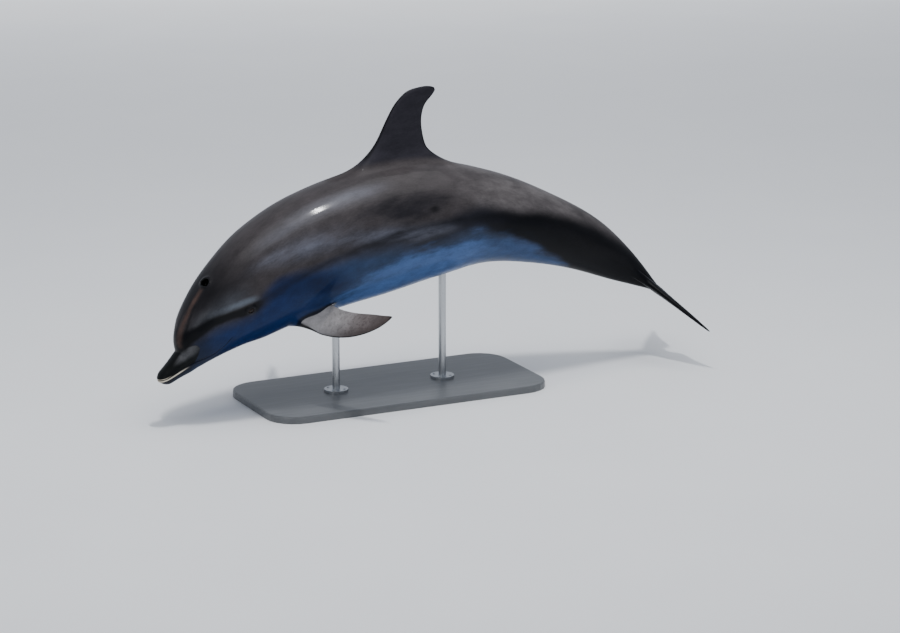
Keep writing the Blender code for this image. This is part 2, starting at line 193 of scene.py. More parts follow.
@dataclass
class Spine:
    """The bent line of the back, with a frame of directions at every step along it.

    Pitch is nose down, turn is to the left and twist is left side down, all in degrees. The line is the
    running sum of its own direction, and the frame's left and up are rolled by the twist.
    """

    lie: Rows = (
        (0.00, 36.0, 8.0, 0.0), (0.12, 34.5, 8.0, 0.0), (0.25, 23.8, 4.8, 0.0),
        (0.40, 12.5, 0.0, 0.0), (0.55, 1.0, 0.0, 0.0), (0.70, -17.0, 0.0, 2.0),
        (0.85, -31.0, 0.0, 6.0), (0.93, -35.5, 0.0, 9.0), (1.05, -40.0, 0.0, 9.0),
    )
    start: float = -0.06
    end: float = 1.08
    steps: int = 1140
    balance: float = 0.42
    stations: Array = field(init=False)
    back: Array = field(init=False)
    left: Array = field(init=False)
    up: Array = field(init=False)
    points: Array = field(init=False)

    def __post_init__(self) -> None:
        """Walks along the spine and keeps its points and directions."""
        self.stations = np.linspace(self.start, self.end, self.steps + 1)
        pitch, turn, twist = (np.radians(column) for column in Table(self.lie).columns(self.stations))
        level = np.cos(pitch)
        self.back = np.stack([level * np.cos(turn), level * np.sin(turn), np.sin(pitch)], 1)
        left = np.stack([np.sin(turn), -np.cos(turn), np.zeros_like(turn)], 1)
        up = np.cross(left, self.back)
        cos, sin = np.cos(twist)[:, None], np.sin(twist)[:, None]
        self.left, self.up = left * cos - up * sin, up * cos + left * sin
        step = np.diff(self.stations)[:, None] * BODY_LENGTH
        walked = np.cumsum((self.back[1:] + self.back[:-1]) / 2 * step, 0)
        self.points = np.vstack([np.zeros(3), walked])
        self.points -= self.at(self.points, self.balance)

    def at(self, values: Array, station: Array) -> Array:
        """Reads one of the spine's vector arrays at any stations."""
        station = np.asarray(station, float)
        return np.stack([np.interp(station, self.stations, values[:, k]) for k in range(3)], -1)

    def place(self, station: Array, across: Array, up: Array) -> Array:
        """World points of body coordinates.

        Args:
            station: share of the length from the beak's tip.
            across: share of the length to the left.
            up: share of the length towards the back.

        Returns:
            Points in metres, one row of three for each.
        """
        station, across, up = np.broadcast_arrays(*(np.asarray(v, float) for v in (station, across, up)))
        side = self.at(self.left, station) * across[..., None]
        rise = self.at(self.up, station) * up[..., None]
        return self.at(self.points, station) + (side + rise) * BODY_LENGTH

    def direction(self, station: Array, back: float, out: float, up: float) -> Array:
        """World direction of one that is given in body coordinates at a station."""
        return (
            self.at(self.back, station) * back
            + self.at(self.left, station) * out
            + self.at(self.up, station) * up
        )

    def straighten(self, points: Array) -> tuple[Array, Array, Array]:
        """Body coordinates of world points, the inverse of place.

        The nearest of evenly spread spine points is found first; then the offset along the spine's
        direction there moves the station until the point lies in that station's plane.

        Args:
            points: world points, one row each.

        Returns:
            Station, across and up, as shares of the length.
        """
        coarse = slice(None, None, 8)
        line, marks = self.points[coarse], self.stations[coarse]
        squares = (points**2).sum(1)[:, None] + (line**2).sum(1)[None] - 2 * points @ line.T
        station = marks[np.argmin(squares, 1)]
        for _ in range(6):
            offset = points - self.at(self.points, station)
            ahead = (offset * self.at(self.back, station)).sum(1) / BODY_LENGTH
            station = np.clip(station + 0.7 * ahead, self.start, self.end)
        offset = (points - self.at(self.points, station)) / BODY_LENGTH
        across = (offset * self.at(self.left, station)).sum(1)
        return station, across, (offset * self.at(self.up, station)).sum(1)

    def hang(self, shift: Array) -> None:
        """Moves the whole spine by a distance in metres."""
        self.points = self.points + shift


@dataclass
class BodyForm:
    """The bare body without fins: a beak's oval and a head's oval, whichever is wider at each angle.

    An angle runs from the back (0) over the left side to the belly (pi). Each oval is a superellipse
    with its own height over the spine and depth under it.
    """

    spine: Spine
    beak: Rows = (  # station, height, depth, half width
        (0.000, 0.0090, 0.0125, 0.0125), (0.030, 0.0118, 0.0192, 0.0172),
        (0.050, 0.0148, 0.0248, 0.0215), (0.062, 0.0160, 0.0264, 0.0260),
        (0.090, 0.0180, 0.0315, 0.0370), (0.130, 0.0200, 0.0445, 0.0450),
        (0.200, 0.0200, 0.0600, 0.0450),
    )
    body: Rows = (  # station, height, depth, half width, fullness over and under
        (0.047, 0.0040, 0.0040, 0.0040, 2.0, 2.0), (0.052, 0.0175, 0.0170, 0.0140, 2.0, 2.0),
        (0.062, 0.0325, 0.0260, 0.0260, 2.1, 2.0), (0.075, 0.0430, 0.0284, 0.0345, 2.3, 2.0),
        (0.090, 0.0522, 0.0315, 0.0420, 2.5, 2.0), (0.130, 0.0676, 0.0445, 0.0535, 2.7, 2.0),
        (0.180, 0.0842, 0.0635, 0.0640, 2.4, 2.0), (0.240, 0.0992, 0.0741, 0.0770, 2.2, 2.0),
        (0.320, 0.1067, 0.0869, 0.0870, 2.1, 2.0), (0.420, 0.1081, 0.0946, 0.0900, 2.0, 2.0),
        (0.520, 0.1000, 0.0886, 0.0845, 1.9, 2.0), (0.620, 0.0765, 0.0740, 0.0700, 1.8, 1.9),
        (0.720, 0.0565, 0.0632, 0.0515, 1.7, 1.7), (0.820, 0.0443, 0.0466, 0.0335, 1.6, 1.6),
        (0.890, 0.0290, 0.0330, 0.0205, 1.6, 1.6), (0.940, 0.0155, 0.0180, 0.0135, 1.8, 1.8),
        (0.970, 0.0072, 0.0082, 0.0122, 1.8, 1.8), (1.000, 0.0016, 0.0016, 0.0080, 2.0, 2.0),
    )
    mouth: Rows = (  # station, height of the mouth's line against the spine
        (0.000, 0.0025), (0.020, -0.0010), (0.050, -0.0052), (0.085, -0.0105), (0.105, -0.0090),
        (0.122, -0.0045), (0.200, 0.0000),
    )
    tip_round: float = 0.013
    tip_fade: float = 0.022
    overshot: float = 0.0012
    crease_softness: float = 0.0011

    @staticmethod
    def oval(angle: Array, height: Array, depth: Array, width: Array, over: Array, under: Array) -> Array:
        """Distance from the centre to a superellipse: (|sin/w|^p + |cos/h|^p)^(-1/p).

        Args:
            angle: where round it, from the back.
            height: how far it reaches over the centre.
            depth: how far it reaches under it.
            width: how far it reaches to either side.
            over: its power over the centre, more for a fuller shape.
            under: its power under it.

        Returns:
            The distances.
        """
        rise, side = np.cos(angle), np.abs(np.sin(angle))
        tall = np.where(rise > 0, height, depth)
        power = np.where(rise > 0, over, under)
        return ((side / width) ** power + (np.abs(rise) / tall) ** power) ** (-1 / power)

    def centre(self, station: Array) -> Array:
        """Height of a ring's centre: the mouth's line at the beak's tip, then the spine."""
        return self.mouth[0][1] * smoothstep(self.tip_fade, 0.0, station)

    def blunt(self, station: Array) -> Array:
        """The share of its full size that the beak has near its round tip: a quarter circle."""
        share = np.clip(station / self.tip_round, 0.0, 1.0)
        return np.sqrt(np.maximum(1 - (1 - share) ** 2, 1e-7))

    def radius(self, station: Array, angle: Array) -> Array:
        """Distance of the skin from its ring's centre, as a share of the length.

        Where the beak's and the head's ovals come within the crease's softness s of each other, a
        square blend (1 - d/s)^2 * s/4 is laid over the wider one.
        """
        station = np.asarray(station, float)
        angle = np.asarray(angle, float)
        centre = self.centre(station)
        lower = self.blunt(station)
        upper = np.maximum(self.blunt(station - self.overshot), 0.35 * lower)
        tip = mix(lower, upper, smoothstep(-0.10, 0.10, np.cos(angle)))
        height, depth, width = Table(self.beak).columns(station)
        snout = self.oval(angle, (height - centre) * tip, (depth + centre) * tip, width * tip, 2.0, 2.0)
        head = self.oval(angle, *Table(self.body).columns(station))
        head = np.where(station < self.body[0][0], 0.0, head)
        snout = np.where(station > self.beak[-1][0], 0.0, snout)
        near = np.maximum(self.crease_softness - np.abs(snout - head), 0) / self.crease_softness
        return np.maximum(snout, head) + near**2 * self.crease_softness / 4

    def normal(self, station: Array, angle: Array) -> Array:
        """Outward unit normals of the skin, from the cross product of steps along and round it.

        Args:
            station: share of the length.
            angle: the angle from the back.

        Returns:
            Directions, one row of three for each.
        """
        step, turn = 0.001, 0.01
        along = self.point(station + step, angle) - self.point(station - step, angle)
        girth = self.point(station, angle + turn) - self.point(station, angle - turn)
        out = self.point(station, angle) - self.spine.place(station, 0.0, 0.0)
        normal = unit(np.cross(along, girth))
        return normal * np.sign((normal * out).sum(-1, keepdims=True))

    def point(self, station: Array, angle: Array) -> Array:
        """World points of the skin at stations and angles."""
        radius = self.radius(station, angle)
        up = self.centre(station) + radius * np.cos(angle)
        return self.spine.place(station, radius * np.sin(angle), up)

    def over_mouth(self, station: Array, up: Array) -> Array:
        """Height over the mouth's line in metres."""
        return (up - Table(self.mouth).read(1, station)) * BODY_LENGTH

    def mouth_angle(self, station: Array) -> Array:
        """The angle at which the skin stands as high as the mouth's line, by repeated arc cosines.

        Args:
            station: share of the length.

        Returns:
            The angles on the left.
        """
        rise = Table(self.mouth).read(1, station) - self.centre(station)
        angle = np.full(np.shape(station), math.pi / 2)
        for _ in range(12):
            angle = np.arccos(np.clip(rise / self.radius(station, angle), -0.9, 0.9))
        return angle

    def angle_at_height(self, station: float, height: float) -> float:
        """The angle on the left at which the skin stands a given height over the spine."""
        angles = np.radians(np.linspace(40.0, 130.0, 1801))
        return float(angles[np.argmin(np.abs(self.radius(station, angles) * np.cos(angles) - height))])

    def frame_at(self, station: float, angle: float) -> FourArrays:
        """A point of the skin with the directions there.

        Args:
            station: share of the length.
            angle: the angle from the back.

        Returns:
            The point, and the directions towards the tail, outwards, and up the girth.
        """
        step, turn = 0.004, 0.02
        point = self.point(station, angle)
        back = unit(self.point(station + step, angle) - self.point(station - step, angle))
        girth = self.point(station, angle + turn) - self.point(station, angle - turn)
        out = unit(np.cross(back, girth))
        out = out * np.sign(out @ (point - self.spine.place(station, 0.0, 0.0)))
        rise = unit(np.cross(back, out))
        return point, back, out, rise * np.sign(rise @ self.spine.direction(station, 0, 0, 1))


# ---- fins ----


@dataclass
class Fin:
    """A fin as ribs from root to tip: a leading point, a trailing point, a thickness and a normal."""

    spine: Spine
    rows: Rows = ()
    root: float = 0.4
    rings: int = 14
    tip_round: float = 0.05
    tip_lean: float = 0.6

    def columns(self, span: Array) -> list[Array]:
        """Reads the rows' columns along the span, which runs from 0 at the first row to 1 at the last."""
        last = len(self.rows) - 1
        return Table(tuple((k / last, *row) for k, row in enumerate(self.rows))).columns(span)

    def ribs(self, span: Array) -> FourArrays:
        """The fin's ribs; each kind of fin lays them out in its own way.

        Args:
            span: where to read them, from 0 at the root to 1 at the tip.

        Returns:
            Leading points, trailing points, thicknesses and normals.
        """
        raise NotImplementedError

    def surface(self, span: Array, way: Array) -> Array:
        """Points of the fin: ribs of the classic four-digit aerofoil's thickness.

        The way round a rib runs from 0 at the leading edge to 1 or -1 at the trailing edge, on the side
        that the normal points to or on the other. Its chord share is (1 - cos(pi way)) / 2. Near the tip
        the ribs shrink as a quarter circle does, towards a point of their chord.

        Args:
            span: shape (rows, 1), from 0 at the root to 1 at the tip.
            way: shape (1, columns).

        Returns:
            Points, shape (rows, columns, 3).
        """
        span, way = np.broadcast_arrays(span, way)
        lead, trail, thick, normal = self.ribs(span)
        near = np.clip((span - 1 + self.tip_round) / self.tip_round, 0, 1)
        shrink = np.maximum(np.sqrt(1 - near**2), 0.10)[..., None]
        middle = mix(lead, trail, self.tip_lean)
        lead, trail, thick = mix(middle, lead, shrink), mix(middle, trail, shrink), thick * shrink[..., 0]
        share = (1 - np.cos(math.pi * np.abs(way))) / 2
        half = 5 * (
            0.2969 * np.sqrt(share) - 0.126 * share - 0.3516 * share**2 + 0.2843 * share**3
            - 0.0985 * share**4
        )
        side = normal * (np.sign(way) * half * thick)[..., None]
        return lead + (trail - lead) * share[..., None] + side


@dataclass
class DorsalFin(Fin):
    """The hooked fin of the back. Rows: leading station and height, trailing ones, thickness."""

    rows: Rows = (
        (0.3950, 0.0850, 0.5850, 0.0700, 0.0300), (0.4080, 0.1075, 0.5620, 0.0925, 0.0240),
        (0.4320, 0.1235, 0.5345, 0.1085, 0.0185), (0.4520, 0.1424, 0.5235, 0.1300, 0.0155),
        (0.4700, 0.1720, 0.5205, 0.1600, 0.0125), (0.4880, 0.2000, 0.5255, 0.1860, 0.0090),
        (0.5090, 0.2160, 0.5365, 0.2010, 0.0062), (0.5350, 0.2186, 0.5430, 0.2110, 0.0032),
    )
    root: float = 0.40
    rings: int = 18

    def ribs(self, span: Array) -> FourArrays:
        """Ribs lie in the animal's middle plane."""
        lead_s, lead_z, trail_s, trail_z, thick = self.columns(span)
        lead = self.spine.place(lead_s, 0.0, lead_z)
        trail = self.spine.place(trail_s, 0.0, trail_z)
        normal = self.spine.direction((lead_s + trail_s) / 2, 0, 1, 0)
        return lead, trail, thick * BODY_LENGTH, normal


@dataclass
class Flipper(Fin):
    """A flipper. Rows, as shares of its length: distance out, leading, trailing edge, thickness."""

    side: Side = Side.LEFT
    rows: Rows = (
        (-0.10, -0.195, 0.185, 0.150), (0.02, -0.186, 0.177, 0.135), (0.15, -0.180, 0.160, 0.112),
        (0.35, -0.163, 0.136, 0.085), (0.55, -0.114, 0.154, 0.066), (0.75, -0.017, 0.197, 0.046),
        (0.90, 0.100, 0.224, 0.030), (1.00, 0.222, 0.248, 0.012),
    )
    length: float = 0.152
    seat: Triple = (0.266, 0.039, -0.0625)
    reach: Triple = (0.257, 0.941, -0.218)
    chord: Triple = (0.762, -0.059, 0.645)
    root: float = 0.34
    rings: int = 18

    def ribs(self, span: Array) -> FourArrays:
        """Ribs are stacked along the reach, and each runs along the chord."""
        sign, station = self.side.value, self.seat[0]
        start = self.spine.place(station, sign * self.seat[1], self.seat[2])
        reach = unit(self.spine.direction(station, self.reach[0], sign * self.reach[1], self.reach[2]))
        chord = self.spine.direction(station, self.chord[0], sign * self.chord[1], self.chord[2])
        chord = unit(chord - reach * (chord @ reach))
        normal = np.cross(reach, chord) * sign
        out, lead, trail, thick = self.columns(span)
        size = self.length * BODY_LENGTH
        middle = start + reach * (out * size)[..., None]
        return (
            middle + chord * (lead * size)[..., None],
            middle + chord * (trail * size)[..., None],
            thick * size,
            np.broadcast_to(normal, middle.shape),
        )


@dataclass
class Fluke(Fin):
    """One half of the tail's flukes. Rows: across, leading station, trailing station, thickness."""

    side: Side = Side.LEFT
    rows: Rows = (
        (0.0000, 0.925, 1.000, 0.0200), (0.0120, 0.934, 1.009, 0.0170),
        (0.0350, 0.951, 1.014, 0.0120), (0.0650, 0.976, 1.017, 0.0090),
        (0.0920, 1.001, 1.023, 0.0065), (0.1120, 1.021, 1.031, 0.0040),
        (0.1220, 1.034, 1.037, 0.0020),
    )
    root: float = 0.26
    rings: int = 18

    def ribs(self, span: Array) -> FourArrays:
        """Ribs run along the spine, side by side."""
        across, lead_s, trail_s, thick = self.columns(span)
        out = self.side.value * across
        lead = self.spine.place(lead_s, out, 0.0)
        trail = self.spine.place(trail_s, out, 0.0)
        normal = self.spine.direction((lead_s + trail_s) / 2, 0, 0, 1)
        return lead, trail, thick * BODY_LENGTH, normal


# ---- the skin's cage ----


@dataclass(frozen=True)
class Patch:
    """A rectangle of the tube's quads, from ring first to last and from column low to high."""

    first: int
    last: int
    low: int
    high: int

    @property
    def long(self) -> int:
        """How many quads long it is."""
        return self.last - self.first

    @property
    def wide(self) -> int:
        """How many quads wide it is."""
        return self.high - self.low

    def rim(self) -> tuple[Array, Array]:
        """Rings and columns of its rim: down the low side, across the back, up the high side, across."""
        down, over = np.arange(self.long), np.arange(self.wide)
        rings = [self.first + down, 0 * over + self.last, self.last - down, 0 * over + self.first]
        columns = [0 * down + self.low, self.low + over, 0 * down + self.high, self.high - over]
        return np.concatenate(rings), np.concatenate(columns)

    def way(self) -> Array:
        """Way round the rim: 0 at the front's middle, 1 at the back's, negative on the high side."""
        half = self.long + self.wide
        place = (np.arange(2 * half) + self.wide / 2) / half
        return np.where(place <= 1, place, place - 2)


@dataclass
class Cage:
    """Grids of quads that share points, gathered into one closed mesh with named point values."""

    fields: tuple[str, ...]
    points: list[Array] = field(default_factory=list)
    values: list[Array] = field(default_factory=list)
    quads: list[Array] = field(default_factory=list)
    corners: list[Array] = field(default_factory=list)
    count: int = 0

    def add_points(self, points: Array, **values: Array) -> Array:
        """Adds a grid of points.

        Args:
            points: shape (rows, columns, 3).
            values: an array or number for each field that isn't nil.

        Returns:
            The points' numbers, shape (rows, columns).
        """
        rows, columns = points.shape[:2]
        table = np.zeros((rows, columns, len(self.fields)))
        for name, value in values.items():
            table[..., self.fields.index(name)] = value
        self.points.append(points.reshape(-1, 3))
        self.values.append(table.reshape(-1, len(self.fields)))
        numbers = np.arange(self.count, self.count + rows * columns).reshape(rows, columns)
        self.count += rows * columns
        return numbers

    def add_quads(self, numbers: Array, island: Array, keep: Array | None = None) -> None:
        """Adds the quads of a grid of point numbers.

        Args:
            numbers: shape (rows, columns).
            island: the places of those points on the unwrapped map, shape (rows, columns, 2).
            keep: which quads to add, shape (rows - 1, columns - 1), or all.
        """
        quads, corners = quads_of(numbers), quads_of(island)
        chosen = np.ones(quads.shape[:2], bool) if keep is None else keep
        self.quads.append(quads[chosen])
        self.corners.append(corners[chosen])

    def mesh(self, name: str) -> Mesh:
        """Makes the mesh, without the points that no quad uses, and with its faces outwards.

        Args:
            name: the mesh's name.

        Returns:
            The mesh, with its unwrapped map and point values.
        """
        quads = np.concatenate(self.quads)
        used, quads = np.unique(quads, return_inverse=True)
        quads = quads.reshape(-1, 4)
        points = np.concatenate(self.points)[used]
        corners = np.concatenate(self.corners)
        a, b, c, d = (points[quads[:, k]] for k in range(4))
        if (np.cross(c - a, d - b) * (a + c)).sum() < 0:
            quads, corners = quads[:, ::-1], corners[:, ::-1]
        mesh = bpy.data.meshes.new(name)
        mesh.from_pydata(points, [], quads)
        unwrapped = mesh.uv_layers.new(name="OFBake")
        unwrapped.uv.foreach_set("vector", corners.astype(np.float32).ravel())
        values = np.concatenate(self.values)[used]
        for k, label in enumerate(self.fields):
            set_point_value(mesh, label, values[:, k])
        return mesh


def set_point_value(mesh: Mesh, name: str, values: Array) -> None:
    """Stores one number for each point of a mesh under a name."""
    attribute = mesh.attributes.get(name) or mesh.attributes.new(name, "FLOAT", "POINT")
    attribute.data.foreach_set("value", np.ascontiguousarray(values, np.float32))


def read_rows(items: bpy.types.bpy_prop_collection, key: str, width: int = 3) -> Array:
    """Reads one property of every item of a collection.

    Args:
        items: the collection.
        key: the property.
        width: how many numbers it has.

    Returns:
        Its values, a row for each item.
    """
    values = np.empty(len(items) * width, np.float32)
    items.foreach_get(key, values)
    return values.reshape(-1, width).astype(float)


def point_value(mesh: Mesh, name: str) -> Array:
    """Reads the numbers stored for a mesh's points under a name."""
    return read_rows(mesh.attributes[name].data, "value", 1)[:, 0]


def put_object(name: str, mesh: Mesh) -> Object:
    """Links a new object at the origin.

    Args:
        name: its name.
        mesh: its mesh.

    Returns:
        The object.
    """
    obj = bpy.data.objects.new(name, mesh)
    bpy.context.scene.collection.objects.link(obj)
    return obj


def put_faces(name: str, points: Array, faces: Array | list) -> Object:
    """Links a new object at the origin with a smooth mesh.

    Args:
        name: the object's name.
        points: the mesh's points, in a grid of any shape.
        faces: numbers of each face's points.

    Returns:
        The object.
    """
    mesh = bpy.data.meshes.new(name)
    mesh.from_pydata(points.reshape(-1, 3), [], faces)
    mesh.shade_smooth()
    return put_object(name, mesh)


def subdivided(mesh: Mesh) -> Mesh:
    """Makes a copy of a mesh with one level of Catmull-Clark subdivision applied.

    Args:
        mesh: the coarse mesh, which is removed.

    Returns:
        The fine mesh.
    """
    obj = put_object("cage", mesh)
    modifier = obj.modifiers.new("Subdivision", "SUBSURF")
    modifier.levels = modifier.render_levels = 1
    graph = bpy.context.evaluated_depsgraph_get()
    graph.update()
    fine = bpy.data.meshes.new_from_object(obj.evaluated_get(graph))
    bpy.data.objects.remove(obj)
    bpy.data.meshes.remove(mesh)
    return fine


@dataclass
class Eye:
    """One eye: a smooth ellipsoid, and the sizes of its lids and its socket.

    Station and height are shares of the length, and the other sizes are metres. The swelling of the
    lids and the depth of the furrow round them are given for the lower lid and then for the upper one.
    """

    form: BodyForm
    side: Side
    station: float = 0.167
    height: float = 0.0138
    half_size: Triple = (0.016, 0.010, 0.012)
    sunk: float = 0.006
    opening: Pair = (0.0128, 0.0084)
    lid_rings: tuple[float, ...] = (0.22, 0.42, 0.59, 0.73, 0.84, 0.92, 0.975, 1.0)
    lid_power: float = 1.25
    lid_lift: float = 0.0016
    slant: float = 0.0012
    swelling: Pair = (0.0026, 0.0046)
    furrow: Pair = (0.00099, 0.0022)
    socket_scale: float = 1.06
    rings: int = 40
    spokes: int = 64

    @property
    def angle(self) -> float:
        """The eye's angle round the body, on its own side."""
        return self.side.value * self.form.angle_at_height(self.station, self.height)

    def frame(self) -> FourArrays:
        """The eyeball's centre with the directions towards the tail, outwards and up."""
        point, back, out, rise = self.form.frame_at(self.station, self.angle)
        return point - out * self.sunk, back, out, rise

    def build(self) -> Object:
        """Builds the eyeball: centre + back*a*sin(t)cos(u) + up*c*sin(t)sin(u) + out*b*cos(t).

        Both poles are closed by a small round of triangles. The point values gaze_x and gaze_y are the
        place on the eyeball seen from outside, and gaze_x runs on past 1 on the hidden half.

        Returns:
            The eye's object.
        """
        centre, back, out, rise = self.frame()
        tilt = np.linspace(0.0, math.pi, self.rings + 1)[1:-1, None]
        turn = np.linspace(0.0, 2 * math.pi, self.spokes, endpoint=False)[None]
        a, b, c = self.half_size
        x, y = np.sin(tilt) * np.cos(turn), np.sin(tilt) * np.sin(turn)
        z = np.cos(tilt) * np.ones_like(turn)
        grid = centre + back * (a * x)[..., None] + rise * (c * y)[..., None] + out * (b * z)[..., None]
        points = np.vstack([grid.reshape(-1, 3), centre + out * b, centre - out * b])
        numbers = np.arange(x.size).reshape(x.shape)
        ring = np.hstack([numbers, numbers[:, :1]])
        front = [(x.size, p, q) for p, q in zip(ring[0, :-1], ring[0, 1:])]
        rear = [(x.size + 1, q, p) for p, q in zip(ring[-1, :-1], ring[-1, 1:])]
        faces = quads_of(ring).reshape(-1, 4).tolist() + front + rear
        if self.side is Side.RIGHT:
            faces = [face[::-1] for face in faces]
        ball = put_faces("eyeball_" + self.side.label, points, faces)
        across, upward = (np.append(share.ravel(), [0.0, 0.0]) for share in (x, y))
        hidden = np.append(z.ravel() < 0, [False, True])
        set_point_value(ball.data, "gaze_x", np.where(hidden, 2.0 * np.sign(across + 1e-9) - across, across))
        set_point_value(ball.data, "gaze_y", upward)
        return ball


@dataclass(frozen=True)
class Blowhole:
    """The blowhole: station and across as shares of the length, and its crescent's sizes in metres.

    The crescent's middle line is an arc bent back by k(1 - x^2), and its lips stand off it by
    h(1 - x^2)^0.5, with x across from horn to horn.
    """

    station: float = 0.1475
    across: float = 0.0071
    half_width: float = 0.0235
    bend: float = 0.0040
    half_gap: float = 0.0142
    rim_height: float = 0.0042
    rim_rings: tuple[float, ...] = (0.25, 0.46, 0.64, 0.78, 0.89, 0.96, 1.0)
    depths: tuple[float, ...] = (0.0025, 0.007, 0.013, 0.019)
    narrowing: tuple[float, ...] = (0.02, 0.10, 0.30, 0.62)

    def edge(self, way: Array) -> tuple[Array, Array]:
        """The lips' edge, round from horn to horn.

        Args:
            way: the way round it, from -1 to 1.

        Returns:
            How far the edge lies towards the tail and across, in metres.
        """
        side, fore = -np.sin(math.pi * way), -np.cos(math.pi * way)
        bow = 1 - side**2
        lip = self.half_gap * np.sign(fore) * np.maximum(bow, 1e-6) ** 0.5
        return self.bend * (bow - 0.6) + lip, self.half_width * side


@dataclass(frozen=True)
class Plot:
    """Where something is grafted on the tube, given for the left side.

    The island is its left, right and lower edge on the unwrapped map, and the right side's island lies
    a shift further on. The pull is how full a fin's fillet is.
    """

    start: float
    end: float
    low: int
    high: int
    island: Triple
    shift: float = 0.0
    pull: float = 1.0

    def island_of(self, side: Side) -> Triple:
        """The island of the graft on one side."""
        shift = 0.0 if side is Side.LEFT else self.shift
        return self.island[0] + shift, self.island[1] + shift, self.island[2]


@dataclass
class Skin:
    """The one skin: its cage, its sculpted folds and the point values its finish paints by."""

    form: BodyForm
    columns: int = 64
    spacing: Rows = (  # station, distance between rings
        (0.000, 0.0016), (0.030, 0.0017), (0.046, 0.0012), (0.068, 0.0012), (0.085, 0.0022),
        (0.130, 0.0026), (0.190, 0.0032), (0.240, 0.0062), (0.600, 0.0068), (0.850, 0.0078),
        (0.930, 0.0052), (1.000, 0.0040),
    )
    tip_rings: int = 7
    lip_crowding: float = 0.72
    lip_spread: float = 2.6
    fillet_rings: int = 7
    dorsal_plot: Plot = Plot(0.392, 0.572, -2, 2, (0.01, 0.30, 0.01), pull=0.9)
    flipper_plot: Plot = Plot(0.222, 0.324, 22, 30, (0.34, 0.66, 0.01), 0.33, 0.8)
    fluke_plot: Plot = Plot(0.915, 0.995, 11, 21, (0.01, 0.33, 0.11), 0.33, 0.7)
    eye_plot: Plot = Plot(0.1505, 0.1835, 11, 17, (0.68, 0.78, 0.11), 0.11)
    blowhole_plot: Plot = Plot(0.1320, 0.1630, -2, 4, (0.90, 0.99, 0.11))
    tube_island: float = 0.21
    stations: Array = field(init=False)
    angles: Array = field(init=False)
    tube: Array = field(init=False)
    cage: Cage = field(init=False)
    holes: list[Patch] = field(default_factory=list)

    FIELDS = ("dorsal", "flipper", "fluke", "span", "chord", "hollow", "lid")

    def __post_init__(self) -> None:
        """Lays out the tube's rings and columns."""
        self.stations = self.ring_stations()
        self.angles = self.column_angles(self.stations)
        self.cage = Cage(self.FIELDS)
        points = self.form.point(self.stations[:, None], self.angles)
        self.tube = self.cage.add_points(points)

    # ---- the tube's grid ----

    def ring_stations(self) -> Array:
        """Ring stations: a quarter circle's spacing round the tip, then steps as the spacing table says.

        The running sum of 1 / spacing counts the rings; its inverse, read at whole numbers, places them.

        Returns:
            The stations.
        """
        round_end = self.form.tip_round
        bearing = np.linspace(0.10, math.pi / 2, self.tip_rings)
        tip = round_end * (1 - np.cos(bearing))
        fine = np.linspace(round_end, 0.998, 4001)
        density = 1 / Table(self.spacing).read(1, fine)
        counted = np.concatenate([[0.0], np.cumsum((density[1:] + density[:-1]) / 2 * np.diff(fine))])
        whole = np.linspace(0.0, counted[-1], int(round(counted[-1])) + 1)
        return np.concatenate([tip, np.interp(whole[1:], counted, fine)])

    def column_angles(self, stations: Array) -> Array:
        """Angles of the columns at each ring, crowded towards the mouth's line on the head.

        Each half ring has as many gaps over the mouth's line as under it. A gap's weight is
        1 - c exp(-(gap / spread)^2), and the running sum of the weights is stretched to the line's
        angle above it and to the belly below it.

        Args:
            stations: the rings' stations.

        Returns:
            Angles from the back, shape (rings, columns).
        """
        half = self.columns // 4
        gaps = np.arange(half) + 0.5
        crowd = self.lip_crowding * smoothstep(0.185, 0.115, stations)[:, None]
        weight = 1 - crowd * hill(gaps[None], self.lip_spread)
        share = np.cumsum(weight, 1) / weight.sum(1, keepdims=True)
        line = self.form.mouth_angle(stations)[:, None]
        upper = line * (1 - share[:, ::-1])
        lower = line + (math.pi - line) * share
        left = np.hstack([upper, line, lower])
        return np.hstack([left, 2 * math.pi - left[:, -2:0:-1]])

    def columns_of(self, patch: Patch) -> tuple[Array, Array, Array]:
        """Reads the tube along a patch's rim.

        Args:
            patch: the patch.

        Returns:
            Point numbers, stations and angles, which run on past a whole turn.
        """
        rings, columns = patch.rim()
        wrapped = columns % self.columns
        angle = self.angles[rings, wrapped]
        low_wrap, high_wrap = columns < 0, columns >= self.columns
        angle = angle - 2 * math.pi * low_wrap + 2 * math.pi * high_wrap
        return self.tube[rings, wrapped], self.stations[rings], angle

    def patch(self, plot: Plot, side: Side = Side.LEFT) -> Patch:
        """The tube's quads that a plot covers.

        Args:
            plot: the plot.
            side: which side of the animal.

        Returns:
            The patch.
        """
        first, last = (int(np.argmin(np.abs(self.stations - s))) for s in (plot.start, plot.end))
        if side is Side.LEFT:
            return Patch(first, last, plot.low, plot.high)
        return Patch(first, last, self.columns - plot.high, self.columns - plot.low)

    # ---- grafts ----

    def close_tube(self) -> None:
        """Adds the tube's quads except those of the holes, and a small cap over each end."""
        start = self.tube_island
        rings, columns = len(self.stations), self.columns
        keep = np.ones((rings - 1, columns), bool)
        for hole in self.holes:
            inside = np.arange(hole.low, hole.high) % columns
            keep[hole.first : hole.last, inside] = False
        numbers = np.hstack([self.tube, self.tube[:, :1]])
        u, v = np.meshgrid(self.stations, np.linspace(start, 0.99, columns + 1), indexing="ij")
        self.cage.add_quads(numbers, np.stack([0.01 + 0.98 * u, v], 2), keep)
        quarter = columns // 4
        self.cap(self.tube[0], quarter, quarter, (0.004, start), 0.002)
        self.cap(self.tube[-1][::-1], quarter, quarter, (0.996, start), 0.002)

